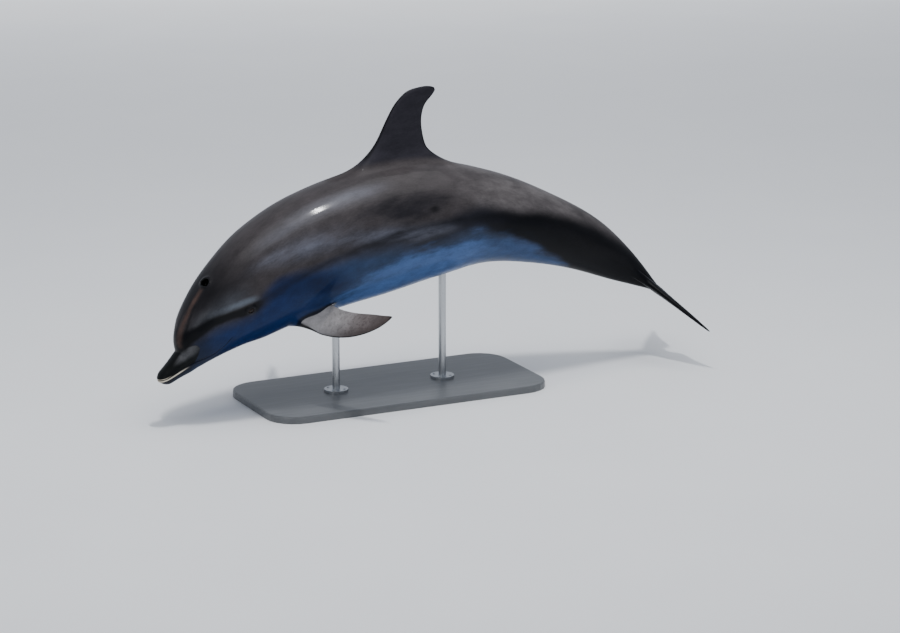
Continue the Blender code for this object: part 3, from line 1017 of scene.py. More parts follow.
    def cap(self, rim: Array, long: int, wide: int, corner: Pair, size: float) -> None:
        """Closes a loop of points with a grid: rows run straight across from side to side.

        Args:
            rim: the loop's point numbers, in the order of Patch.rim.
            long: quads along each long side.
            wide: quads along each short side.
            corner: where its island starts on the unwrapped map.
            size: how wide that island is.
        """
        points = np.concatenate(self.cage.points)
        grid = np.empty((long + 1, wide + 1), int)
        grid[:, 0] = rim[: long + 1]
        grid[-1, :] = rim[long : long + wide + 1]
        grid[:, -1] = rim[long + wide : 2 * long + wide + 1][::-1]
        grid[0, :] = np.append(rim[2 * long + wide :], rim[0])[::-1]
        across = (np.arange(1, wide) / wide)[None, :, None]
        down = (np.arange(1, long) / long)[:, None, None]
        rows = mix(points[grid[1:-1, 0]][:, None], points[grid[1:-1, -1]][:, None], across)
        columns = mix(points[grid[0, 1:-1]][None], points[grid[-1, 1:-1]][None], down)
        values = np.concatenate(self.cage.values)[rim[0]]
        inner = self.cage.add_points(
            (rows + columns) / 2 if long == wide else rows,
            **{name: values[k] for k, name in enumerate(self.FIELDS)},
        )
        grid[1:-1, 1:-1] = inner
        u, v = np.meshgrid(np.linspace(0, size, long + 1), np.linspace(0, size, wide + 1), indexing="ij")
        self.cage.add_quads(grid, np.stack([corner[0] + u, corner[1] + v], 2))

    def graft(self, patch: Patch, rings: Array, island: Triple, **values: Array) -> None:
        """Swaps a patch for rings of points that start at its rim, with a cap over the last.

        Args:
            patch: the patch that is left open for it.
            rings: shape (rings, rim, 3).
            island: left, right and lower edge of its island on the unwrapped map.
            values: point values for the rings.
        """
        self.holes.append(patch)
        rim = self.columns_of(patch)[0]
        numbers = np.vstack([rim[None], self.cage.add_points(rings, **values)])
        left, right, low = island
        closed = np.hstack([numbers, numbers[:, :1]]).T
        u, v = np.meshgrid(
            np.linspace(left, right - 0.01, closed.shape[0]),
            np.linspace(low, low + 0.085, closed.shape[1]),
            indexing="ij",
        )
        self.cage.add_quads(closed, np.stack([u, v], 2))
        self.cap(numbers[-1], patch.long, patch.wide, (right - 0.008, low), 0.006)

    def fin(self, fin: Fin, kind: str, plot: Plot, side: Side = Side.LEFT) -> None:
        """Grafts a fin: a Hermite fillet from the patch's rim to the root rib, then ribs to the tip.

        The fillet leaves the body along its surface and reaches the fin along its span. Both tangents
        are as long as the gap between the two points, times the plot's pull.

        Args:
            fin: the fin's surface.
            kind: the point value that marks it.
            plot: where it grows.
            side: the side that it grows on.
        """
        patch = self.patch(plot, side)
        _, station, angle = self.columns_of(patch)
        base = self.form.point(station, angle)
        way = patch.way()
        normal = fin.ribs(np.array([fin.root]))[3][0]
        lean = (base * np.sign(way)[:, None]).sum(0) @ normal
        way = way * np.sign(lean)
        root = fin.surface(np.array([[fin.root]]), way[None])[0]
        further = fin.surface(np.array([[fin.root + 0.02]]), way[None])[0]
        out = self.form.normal(station, angle)
        inward = (root - base) - out * ((root - base) * out).sum(1, keepdims=True)
        gap = np.linalg.norm(root - base, axis=1, keepdims=True) * plot.pull
        leave, arrive = unit(inward) * gap, unit(further - root) * gap
        share = np.linspace(0, 1, self.fillet_rings + 2)[1:, None, None]
        fillet = hermite(share, base, leave, root, arrive)
        span = fin.root + (1 - fin.root) * np.sin(np.linspace(0, math.pi / 2, fin.rings + 1)[1:, None])
        ribs = fin.surface(span, way[None])
        grown = np.concatenate([share[:, 0] * fin.root, span]) * np.ones_like(way)
        values = {
            kind: smoothstep(0.0, fin.root, grown),
            "span": grown,
            "chord": (1 - np.cos(math.pi * np.abs(way))) / 2 * np.ones_like(grown),
        }
        self.graft(patch, np.concatenate([fillet, ribs]), plot.island_of(side), **values)

    def eye_socket(self, eye: Eye) -> None:
        """Grafts the lids and the socket behind the eyeball.

        Rings run over the skin from the patch's rim to the lids' edge, an ellipse with pointed corners.
        A low swelling lies round them. From the edge they turn in and run behind the eyeball on a
        slightly larger ellipsoid.

        Args:
            eye: the eye that sits there.
        """
        form, sign, patch = self.form, eye.side.value, self.patch(self.eye_plot, eye.side)
        _, station, angle = self.columns_of(patch)
        ring_radius = form.radius(eye.station, eye.angle) * BODY_LENGTH
        eye_angle = eye.angle % (2 * math.pi)
        rim_x = (station - eye.station) * BODY_LENGTH
        rim_y = -sign * (angle - eye_angle) * ring_radius
        fore, lean = np.cos(math.pi * patch.way()), np.sin(math.pi * patch.way() * sign)
        edge_x = -eye.opening[0] * fore
        edge_y = eye.opening[1] * np.sign(lean) * np.abs(lean) ** eye.lid_power + eye.slant * fore
        share = np.array(eye.lid_rings)[:, None]
        x, y = mix(rim_x, edge_x, share), mix(rim_y, edge_y, share)
        away = np.hypot(x - edge_x, y - edge_y)
        upper = smoothstep(-0.3, 0.6, y / eye.opening[1])
        a, b, c = eye.half_size
        turn_x, turn_y = edge_x / a, edge_y / c
        size = np.hypot(turn_x, turn_y)
        ball = np.sqrt(np.maximum(1 - size**2, 0.0)) * b - eye.sunk
        bulge = mix(*eye.swelling, upper) * hill(away - 0.0050, 0.0065)
        groove = -mix(*eye.furrow, upper) * hill(away - 0.0130, 0.0032)
        lift = (ball + eye.lid_lift) * hill(away, 0.0045)
        centre, back, out, rise = eye.frame()
        skin = form.point(eye.station + x / BODY_LENGTH, eye_angle - sign * y / ring_radius)
        lids = skin + out * (bulge + groove + lift)[..., None]
        grow = eye.socket_scale
        front = np.minimum(np.maximum(grow * np.array([[0.80], [0.93]]), size * [[1.045], [1.075]]), grow)
        rear = grow * np.array([1.00, 0.90, 0.60, 0.25])[:, None] * np.ones_like(size)
        flat = np.concatenate([front, rear])
        facing = np.array([1, 1, 1, -1, -1, -1])[:, None]
        deep = np.sqrt(np.maximum(grow**2 - flat**2, 0)) * facing
        pocket = (
            centre
            + back * (flat * a * turn_x / size)[..., None]
            + rise * (flat * c * turn_y / size)[..., None]
            + out * (deep * b)[..., None]
        )
        hollow = np.concatenate([0 * x, np.ones_like(flat)])
        lid = np.concatenate([hill(away, 0.006), np.ones_like(flat)])
        island = self.eye_plot.island_of(eye.side)
        self.graft(patch, np.concatenate([lids, pocket]), island, hollow=hollow, lid=lid)

    def blowhole(self, hole: Blowhole) -> None:
        """Grafts the blowhole: a crescent with its horns forward, a raised rim and a pocket under it.

        Args:
            hole: its place and sizes.
        """
        form, patch = self.form, self.patch(self.blowhole_plot)
        place = (hole.station, hole.across / form.radius(hole.station, 0.0))
        _, station, angle = self.columns_of(patch)
        ring_radius = form.radius(*place) * BODY_LENGTH
        edge_x, edge_y = hole.edge(patch.way())
        share = np.array(hole.rim_rings)[:, None]
        x = mix((station - place[0]) * BODY_LENGTH, edge_x, share)
        y = mix((angle - place[1]) * ring_radius, edge_y, share)
        away = np.hypot(x - edge_x, y - edge_y)
        out = form.frame_at(*place)[2]
        skin = form.point(place[0] + x / BODY_LENGTH, place[1] + y / ring_radius)
        rise = hole.rim_height * hill(away - 0.0045, 0.005) - 0.0012 * hill(away, 0.002)
        middle = form.point(place[0] + edge_x * 0.2 / BODY_LENGTH, place[1] + edge_y * 0.8 / ring_radius)
        depth, narrow = (np.array(steps)[:, None, None] for steps in (hole.depths, hole.narrowing))
        pocket = mix(skin[-1], middle, narrow) - out * depth
        inside = np.ones(pocket.shape[:2])
        hollow, lid = (np.concatenate([hill(away, width), inside]) for width in (0.002, 0.012))
        rings = np.concatenate([skin + out * rise[..., None], pocket])
        self.graft(patch, rings, self.blowhole_plot.island, hollow=hollow, lid=lid)

    # ---- the whole skin ----

    def build(self, eyes: list[Eye]) -> Object:
        """Builds the cage, subdivides it, sculpts it and stores the values that its finish reads.

        Args:
            eyes: the two eyes, which the sockets fit.

        Returns:
            The skin's object.
        """
        spine = self.form.spine
        self.fin(DorsalFin(spine), "dorsal", self.dorsal_plot)
        for side, eye in zip(Side, eyes):
            self.fin(Flipper(spine, side=side), "flipper", self.flipper_plot, side)
            self.fin(Fluke(spine, side=side), "fluke", self.fluke_plot, side)
            self.eye_socket(eye)
        self.blowhole(Blowhole())
        self.close_tube()
        mesh = subdivided(self.cage.mesh("skin_cage"))
        mesh.name = "dolphin_skin"
        mesh.shade_smooth()
        Sculptor(self.form).shape(mesh)
        return put_object("dolphin_skin", mesh)


# ---- markings ----


@dataclass(frozen=True)
class Band:
    """A marking that runs along the body. Rows: station, middle and half width, both in one measure."""

    rows: Rows

    def inside(self, station: Array, value: Array) -> Array:
        """How far inside the band a value lies, nil on its edge and negative outside."""
        middle, half = Table(self.rows).columns(station)
        return half - np.abs(value - middle)

    def glow(self, station: Array, value: Array, fade: float) -> Array:
        """A bell curve over the band that fades in and out at its ends.

        Args:
            station: share of the length.
            value: the measure that the band is given in.
            fade: how many stations to either side of an end the fading takes.

        Returns:
            The curve's values, from 0 to 1.
        """
        middle, half = Table(self.rows).columns(station)
        first, last = self.rows[0][0], self.rows[-1][0]
        ends = smoothstep(first - fade, first + fade, station) * smoothstep(last + fade, last - fade, station)
        return hill(value - middle, half) * ends


@dataclass(frozen=True)
class Markings:
    """Where the skin's markings lie. Heights are shares of the length, angles degrees from the back.

    An edge is a table of angles over stations. A spot is the middle and the half sizes of an oval, first
    along the body and then round it, or across or up it.
    """

    eye_stripe: Band = Band((
        (0.055, 0.0225, 0.0075), (0.075, 0.0325, 0.0078), (0.106, 0.0345, 0.0070),
        (0.136, 0.0266, 0.0058), (0.157, 0.0192, 0.0068), (0.174, 0.0152, 0.0068),
        (0.186, 0.0150, 0.0046), (0.198, 0.0160, 0.0000),
    ))
    brow: Band = Band((
        (0.112, 0.0450, 0.0050), (0.154, 0.0335, 0.0056), (0.179, 0.0268, 0.0052), (0.188, 0.0245, 0.0044),
    ))
    cheek: Band = Band(((0.085, 34.0, 14.0), (0.125, 44.0, 15.0), (0.175, 54.0, 12.0)))
    eye_to_flipper: Band = Band((
        (0.176, 77.0, 8.0), (0.218, 77.0, 11.0), (0.250, 84.0, 14.0), (0.300, 101.0, 15.0),
        (0.345, 112.0, 8.0),
    ))
    shoulder_streak: Band = Band((
        (0.205, 40.0, 5.0), (0.229, 46.0, 7.0), (0.275, 53.0, 9.0), (0.325, 60.0, 9.0),
        (0.400, 73.0, 9.0), (0.470, 84.0, 7.0), (0.520, 86.0, 5.0),
    ))
    # Painted sheen: a paler streak where the back's gloss shines, partly its own paler paint.
    back_sheen_streak: Band = Band(((0.235, 28.0, 6.0), (0.330, 29.0, 7.0), (0.425, 31.0, 6.0)))
    cool_edge: Table = Table((
        (0.000, 96.0), (0.045, 88.0), (0.058, 46.0), (0.075, 46.0), (0.089, 54.0), (0.121, 68.0),
        (0.145, 77.0), (0.165, 82.0), (0.180, 81.0), (0.200, 77.0), (0.225, 72.0),
        (0.276, 77.0), (0.344, 84.0), (0.411, 92.0), (0.482, 100.0), (0.518, 98.5), (0.575, 93.0),
        (0.617, 102.0), (0.673, 113.0), (0.746, 136.0), (0.790, 160.0), (0.820, 186.0),
    ))
    pale_edge: Table = Table((
        (0.000, 150.0), (0.100, 152.0), (0.200, 150.0), (0.270, 140.0), (0.315, 122.0), (0.373, 108.0),
        (0.445, 104.0), (0.513, 106.0), (0.575, 99.0), (0.617, 107.0), (0.673, 117.0),
        (0.746, 139.0), (0.790, 162.0), (0.820, 188.0),
    ))
    stock_edge: Table = Table((
        (0.540, 66.0), (0.597, 71.0), (0.641, 74.0), (0.680, 67.0), (0.715, 60.0), (0.767, 48.0),
        (0.820, 34.0), (0.880, 20.0), (0.950, 6.0), (1.000, -10.0),
    ))
    melon_streak: Band = Band((
        (0.060, 0.0000, 0.0050), (0.091, 0.0000, 0.0046), (0.112, 0.0000, 0.0040), (0.138, 0.0000, 0.0030),
    ))
    melon_line: Band = Band((
        (0.068, 0.0100, 0.0020), (0.084, 0.0105, 0.0022), (0.100, 0.0090, 0.0020), (0.118, 0.0065, 0.0014),
    ))
    flank_patch: Spot = (0.462, 56.0, 0.105, 20.0)
    flank_spot: Spot = (0.500, 62.5, 0.014, 5.5)
    crease: Table = Table((
        (0.0, 0.0560), (20.0, 0.0555), (37.0, 0.0580), (50.0, 0.0650), (62.0, 0.0735), (70.0, 0.0745),
        (80.0, 0.0700), (95.0, 0.0620), (120.0, 0.0500), (180.0, 0.0400),
    ))
    beak_patch: Spot = (0.0600, 54.0, 0.0300, 34.0)
    blowhole_ring: Spot = (0.1472, 0.0071, 0.0125, 0.0145)
    ear_pit: Spot = (0.1880, 0.0100, 0.0012, 0.0012)
    fin_foot: Spot = (0.4050, 0.0000, 0.0400, 0.0260)

    @staticmethod
    def disc(spot: Spot, first: Array, second: Array) -> Array:
        """1 in the middle of an oval of two measures, falling in a straight line to 0 on its rim."""
        return 1 - np.hypot((first - spot[0]) / spot[2], (second - spot[1]) / spot[3])

    def fields(self, form: BodyForm, station: Array, across: Array, up: Array) -> dict[str, Array]:
        """Works out the values that the skin's finish reads.

        Names that end in _edge or _inside are distances in metres, nil on a marking's edge; the others
        are shares from 0 to 1. A distance over an angle is the angle times the body's radius there.

        Args:
            form: the bare body.
            station: share of the length, with across and up likewise.
            across: to the left.
            up: to the back.

        Returns:
            Arrays by name.
        """
        angle = np.degrees(np.arctan2(np.abs(across), up))
        degree = np.radians(1.0) * np.hypot(across, up) * BODY_LENGTH
        high = smoothstep(0.0, 0.01, up)
        beak = (self.crease.read(1, angle) - station) * BODY_LENGTH
        off_middle = np.abs(across - self.blowhole_ring[1])
        streak = self.melon_streak.inside(station, off_middle)
        streak = np.where((high > 0.5) & (station < 0.16), np.minimum(streak, 0.139 - station), -0.05)
        return {
            "beak_inside": np.clip(beak, -0.05, 0.05),
            "cool_edge": (angle - self.cool_edge.read(1, station)) * degree,
            "pale_edge": (angle - self.pale_edge.read(1, station)) * degree,
            "stock_edge": (angle - self.stock_edge.read(1, station)) * degree,
            "stripe_inside": self.eye_stripe.inside(station, up) * BODY_LENGTH,
            "streak_inside": streak * BODY_LENGTH,
            "navy_inside": self.eye_to_flipper.inside(station, angle) * degree,
            "cheek": self.cheek.glow(station, angle, 0.025),
            "shoulder": self.shoulder_streak.glow(station, angle, 0.03),
            "sheen": self.back_sheen_streak.glow(station, angle, 0.04),
            "patch": self.disc(self.flank_patch, station, angle),
            "spot": self.disc(self.flank_spot, station, angle),
            "beak": self.disc(self.beak_patch, station, angle),
            "blowhole": self.disc(self.blowhole_ring, station, across),
            "thin_line": self.melon_line.glow(station, off_middle, 0.005) * high,
            "ear": self.disc(self.ear_pit, station, up),
            "fin_foot": self.disc(self.fin_foot, station, across) * high,
            "lip": form.over_mouth(station, up),
        }


@dataclass
class Sculptor:
    """Moves the subdivided skin's points along their normals and stores what its finish reads.

    The relaxed span is where a fin's smoothing fades out, as spans from the tip's side. The tail's end
    is drawn forward between two stations, which rounds it off at the flukes' notch. The sizes of the
    mouth's groove and lips are metres, given for the cheek and then for the beak.
    """

    form: BodyForm
    markings: Markings = Markings()
    spread_rounds: int = 9
    relax_rounds: int = 70
    relax_step: float = 0.6
    relaxed_span: Pair = (0.40, 0.22)
    tail_end: Pair = (0.972, 0.990)
    tail_draw: float = 0.010
    mouth_corner: float = 0.1235
    groove_depth: Pair = (0.0022, 0.0030)
    groove_width: Pair = (0.0023, 0.0017)
    upper_lip: Pair = (0.0007, 0.0012)
    lower_lip: Pair = (0.0009, 0.0017)
    dimple: float = 0.0012
    brow: float = 0.0014

    def shape(self, mesh: Mesh) -> None:
        """Rounds the fins' roots and the tail's end, adds the folds and stores the values.

        Args:
            mesh: the subdivided skin, changed in place.
        """
        limbs = sum(point_value(mesh, k) for k in ("dorsal", "flipper", "fluke"))
        root = smoothstep(*self.relaxed_span, point_value(mesh, "span"))
        places, spine = read_rows(mesh.vertices, "co"), self.form.spine
        station, across, up = spine.straighten(places)
        end = smoothstep(*self.tail_end, station) * (limbs < 0.5)
        places += spine.place(station - self.tail_draw * end, across, up) - spine.place(station, across, up)
        places = self.relax(mesh, places, np.maximum(4 * limbs * (1 - limbs), end), root)
        self.move(mesh, places)
        station, across, up = spine.straighten(places)
        relief = self.relief(station, up) * np.clip(1 - limbs, 0, 1)
        relief *= 1 - point_value(mesh, "hollow")
        self.move(mesh, places + read_rows(mesh.vertex_normals, "vector") * relief[:, None])
        for name, values in self.markings.fields(self.form, station, across, up).items():
            set_point_value(mesh, name, values)
        straight = mesh.attributes.new("straight", "FLOAT_VECTOR", "POINT")
        rows = np.stack([station, across, up], 1) * BODY_LENGTH
        straight.data.foreach_set("vector", rows.astype(np.float32).ravel())

    @staticmethod
    def move(mesh: Mesh, places: Array) -> None:
        """Puts the mesh's points at their new places."""
        mesh.vertices.foreach_set("co", places.astype(np.float32).ravel())
        mesh.update()

    def relax(self, mesh: Mesh, places: Array, share: Array, most: Array) -> Array:
        """Smooths a part of the skin: each point moves part of the way to the mean of its neighbours.

        The share is first spread over the neighbours itself, so that the smoothing fades out.

        Args:
            mesh: the skin.
            places: its points.
            share: 1 where the skin is to be smoothed and 0 where it stays.
            most: the most that each point's share may be in the end.

        Returns:
            The points moved.
        """
        edges = np.empty(len(mesh.edges) * 2, np.int32)
        mesh.edges.foreach_get("vertices", edges)
        first, second = edges.reshape(-1, 2).T
        ends, others = np.concatenate([first, second]), np.concatenate([second, first])
        count = np.bincount(ends, minlength=len(places))

        def mean(values: Array) -> Array:
            """The mean over each point's neighbours."""
            return np.bincount(ends, values[others], len(places)) / count

        for _ in range(self.spread_rounds):
            share = np.maximum(share, 0.5 * share + 0.5 * mean(share))
        share = (self.relax_step * np.clip(share * 1.6, 0.0, 1.0) * most)[:, None]
        for _ in range(self.relax_rounds):
            centre = np.stack([mean(axis) for axis in places.T], 1)
            places = places + share * (centre - places)
        return places

    def relief(self, station: Array, up: Array) -> Array:
        """How far each point moves out, in metres: the mouth's groove between two lips, and soft folds.

        The groove and the lips are bell curves of the height over the mouth's line, up to a dimple at
        the mouth's corner. The ridge over the eyes swells a little.

        Args:
            station: share of the length.
            up: share of the length to the back.

        Returns:
            Distances along the normals.
        """
        height = self.form.over_mouth(station, up)
        jaw = smoothstep(self.mouth_corner, 0.112, station)
        beak = smoothstep(0.075, 0.05, station)
        groove = mix(*self.groove_depth, beak) * hill(height, mix(*self.groove_width, beak))
        upper = mix(*self.upper_lip, beak) * hill(height - 0.0048, 0.0034)
        lower = mix(*self.lower_lip, beak) * hill(height + 0.0054, 0.0038)
        dimple = self.dimple * hill(station - self.mouth_corner, 0.0035) * hill(height, 0.010)
        brow = self.brow * self.markings.brow.glow(station, up, 0.010)
        return (upper + lower - groove) * jaw - dimple + brow


# ---- shader tools ----


def sum_of(operation: str, turned: bool = False) -> Callable[["Wire", "Wire | float"], "Wire"]:
    """Makes one of the operators of a wire.

    Args:
        operation: the Math node's operation.
        turned: whether the other value comes first.

    Returns:
        The method.
    """

    def operator(wire: "Wire", other: "Wire | float") -> "Wire":
        """The Math node's result for this wire and the other value."""
        return wire.math(operation, *((other, wire) if turned else (wire, other)))

    return operator


@dataclass(frozen=True)
class Wire:
    """A value inside a material. Sums on it add Math nodes, so a mask can be written as a formula."""

    tree: NodeTree
    socket: NodeSocket

    def math(self, operation: str, *values: "Wire | float") -> "Wire":
        """Adds a Math node.

        Args:
            operation: its operation.
            values: what it works on, in order.

        Returns:
            Its result.
        """
        node = self.tree.nodes.new("ShaderNodeMath")
        node.operation = operation
        for plug, value in zip(node.inputs, values):
            if isinstance(value, Wire):
                self.tree.links.new(value.socket, plug)
            else:
                plug.default_value = value
        return Wire(self.tree, node.outputs[0])

    __add__ = sum_of("ADD")
    __radd__ = sum_of("ADD", turned=True)
    __sub__ = sum_of("SUBTRACT")
    __rsub__ = sum_of("SUBTRACT", turned=True)
    __mul__ = sum_of("MULTIPLY")
    __rmul__ = sum_of("MULTIPLY", turned=True)
    __truediv__ = sum_of("DIVIDE")
    __pow__ = sum_of("POWER")

    def size(self) -> "Wire":
        """This without its sign."""
        return self.math("ABSOLUTE", self)

    def most(self, other: "Wire | float") -> "Wire":
        """The greater of the two."""
        return self.math("MAXIMUM", self, other)

    def rise(self, low: float, high: float) -> "Wire":
        """A smooth step from 0 at low to 1 at high.

        Args:
            low: where it starts.
            high: where it ends.

        Returns:
            The step's value.
        """
        node = self.tree.nodes.new("ShaderNodeMapRange")
        node.interpolation_type = "SMOOTHSTEP"
        self.tree.links.new(self.socket, node.inputs["Value"])
        node.inputs["From Min"].default_value = low
        node.inputs["From Max"].default_value = high
        return Wire(self.tree, node.outputs["Result"])

    def fall(self, low: float, high: float) -> "Wire":
        """A smooth step from 1 at low to 0 at high."""
        return 1 - self.rise(low, high)

    def peak(self, half: float) -> "Wire":
        """A straight-sided peak: 1 where this is 0, and 0 a half width to either side of it and beyond."""
        return (1 - self.size() / half).most(0.0)


def tone(red: int, green: int, blue: int) -> Colour:
    """A screen colour from 0 to 255 as the linear light that a shader takes."""
    shares = np.array([red, green, blue]) / 255
    return (*np.where(shares <= 0.04045, shares / 12.92, ((shares + 0.055) / 1.055) ** 2.4).tolist(), 1.0)


class Palette:
    """One material and the few ways in which the finishes add nodes to it."""

    def __init__(self, name: str) -> None:
        """Starts a material with a bare Principled shader.

        Args:
            name: the material's name.
        """
        self.material = bpy.data.materials.new(name)
        self.material.use_nodes = True
        self.tree = self.material.node_tree
        self.shader = self.tree.nodes["Principled BSDF"]

    def node(self, kind: str, settings: dict[str, object] | None = None, **plugs: object) -> Node:
        """Adds a node.

        Args:
            kind: its type without the word ShaderNode.
            settings: its own settings, which are set first.
            plugs: values, sockets or wires for its inputs, with _ for a space in a name.

        Returns:
            The node.
        """
        node = self.tree.nodes.new("ShaderNode" + kind)
        for key, value in (settings or {}).items():
            setattr(node, key, value)
        for key, value in plugs.items():
            self.feed(node, key.replace("_", " "), value)
        return node

    def feed(self, node: Node, plug: str, value: object) -> None:
        """Links or sets one input of a node, the first enabled one of that name."""
        socket = next(s for s in node.inputs if s.name == plug and s.enabled)
        if isinstance(value, Wire):
            self.tree.links.new(value.socket, socket)
        elif isinstance(value, NodeSocket):
            self.tree.links.new(value, socket)
        else:
            socket.default_value = value

    def value(self, name: str) -> Wire:
        """The mesh's point value of that name."""
        node = self.node("Attribute", {"attribute_name": name})
        return Wire(self.tree, node.outputs["Fac"])

    def place(self) -> NodeSocket:
        """The place in the object, in metres."""
        return self.node("TexCoord").outputs["Object"]

    def part(self, vector: NodeSocket, axis: str) -> Wire:
        """One of a vector's three numbers, by its axis X, Y or Z."""
        return Wire(self.tree, self.node("SeparateXYZ", Vector=vector).outputs[axis])

    def noise(
        self, vector: NodeSocket, scale: float, stretch: Triple = (1, 1, 1),
        detail: float = 3.0, shift: float = 0.0, rough: float = 0.5,
    ) -> Wire:
        """Cloudy noise from 0 to 1 around a half.

        Args:
            vector: where to read it.
            scale: clouds for each metre.
            stretch: factors on the three axes.
            detail: octaves.
            shift: moves it to another part of the noise.
            rough: how much the fine octaves count.

        Returns:
            The noise.
        """
        moved = self.node("Mapping", Vector=vector, Scale=stretch, Location=(shift, shift * 0.7, shift * 1.3))
        made = self.node("TexNoise", Vector=moved.outputs[0], Scale=scale, Detail=detail, Roughness=rough)
        return Wire(self.tree, made.outputs["Fac"])

    def blend(self, first: object, second: object, share: Wire) -> NodeSocket:
        """A colour between two, first where the share is 0."""
        made = self.node("Mix", {"data_type": "RGBA"}, A=first, B=second, Factor=share)
        return next(s for s in made.outputs if s.enabled)

    def shade(self, colour: NodeSocket, amount: Wire) -> NodeSocket:
        """A colour times a grey amount."""
        return self.node("VectorMath", {"operation": "SCALE"}, Vector=colour, Scale=amount).outputs[0]

    def bump(self, height: Wire, depth: float) -> NodeSocket:
        """A normal from a height: depth is the relief in metres of a height of 1."""
        return self.node("Bump", Height=height, Distance=depth, Strength=1.0).outputs["Normal"]

    def finish(self, **plugs: object) -> Material:
        """Sets or links the shader's inputs and returns the material."""
        for key, value in plugs.items():
            self.feed(self.shader, key.replace("_", " "), value)
        return self.material


class SkinPalette(Palette):
    """The skin's palette: the places and noises that its markings share, and the colour so far.

    Station runs along the body from 0 at the beak's tip to 1, and height is metres over the spine. The
    noises are long clouds, ragged edges and wisps. Wobble, in metres, is what shakes a marking's edge.
    """

    def __init__(self, name: str) -> None:
        """Adds the shared nodes.

        Args:
            name: the material's name.
        """
        super().__init__(name)
        self.body = self.node("Attribute", {"attribute_name": "straight"}).outputs["Vector"]
        self.station = self.part(self.body, "X") / BODY_LENGTH
        self.height = self.part(self.body, "Z")
        self.clouds = self.noise(self.body, 7.0, (0.55, 1, 1), 4.0)
        self.ragged = self.noise(self.body, 26.0, (0.35, 1, 1), 5.0, 3.0) - 0.5
        self.wisps = self.noise(self.body, 11.0, (0.28, 1, 1.2), 6.0, 9.0, 0.62)
        self.wobble = (self.clouds - 0.5) * 0.05 + self.ragged * 0.03
        self.mottle = self.wisps.rise(0.30, 0.66)
        self.before_flukes = self.station.fall(0.78, 0.84)
        self.behind_fin = self.station.rise(0.545, 0.655)
        self.colour: object = tone(0, 0, 0)

    def paint(self, colour: object, share: Wire) -> None:
        """Lays a colour, thinned by a share, over the colour so far."""
        self.colour = self.blend(self.colour, colour, share)

    def between(self, start: float, first: float, last: float, end: float) -> Wire:
        """1 from station first to station last, fading to 0 at start and at end."""
        return self.station.rise(start, first) * self.station.fall(last, end)


# ---- finishes ----


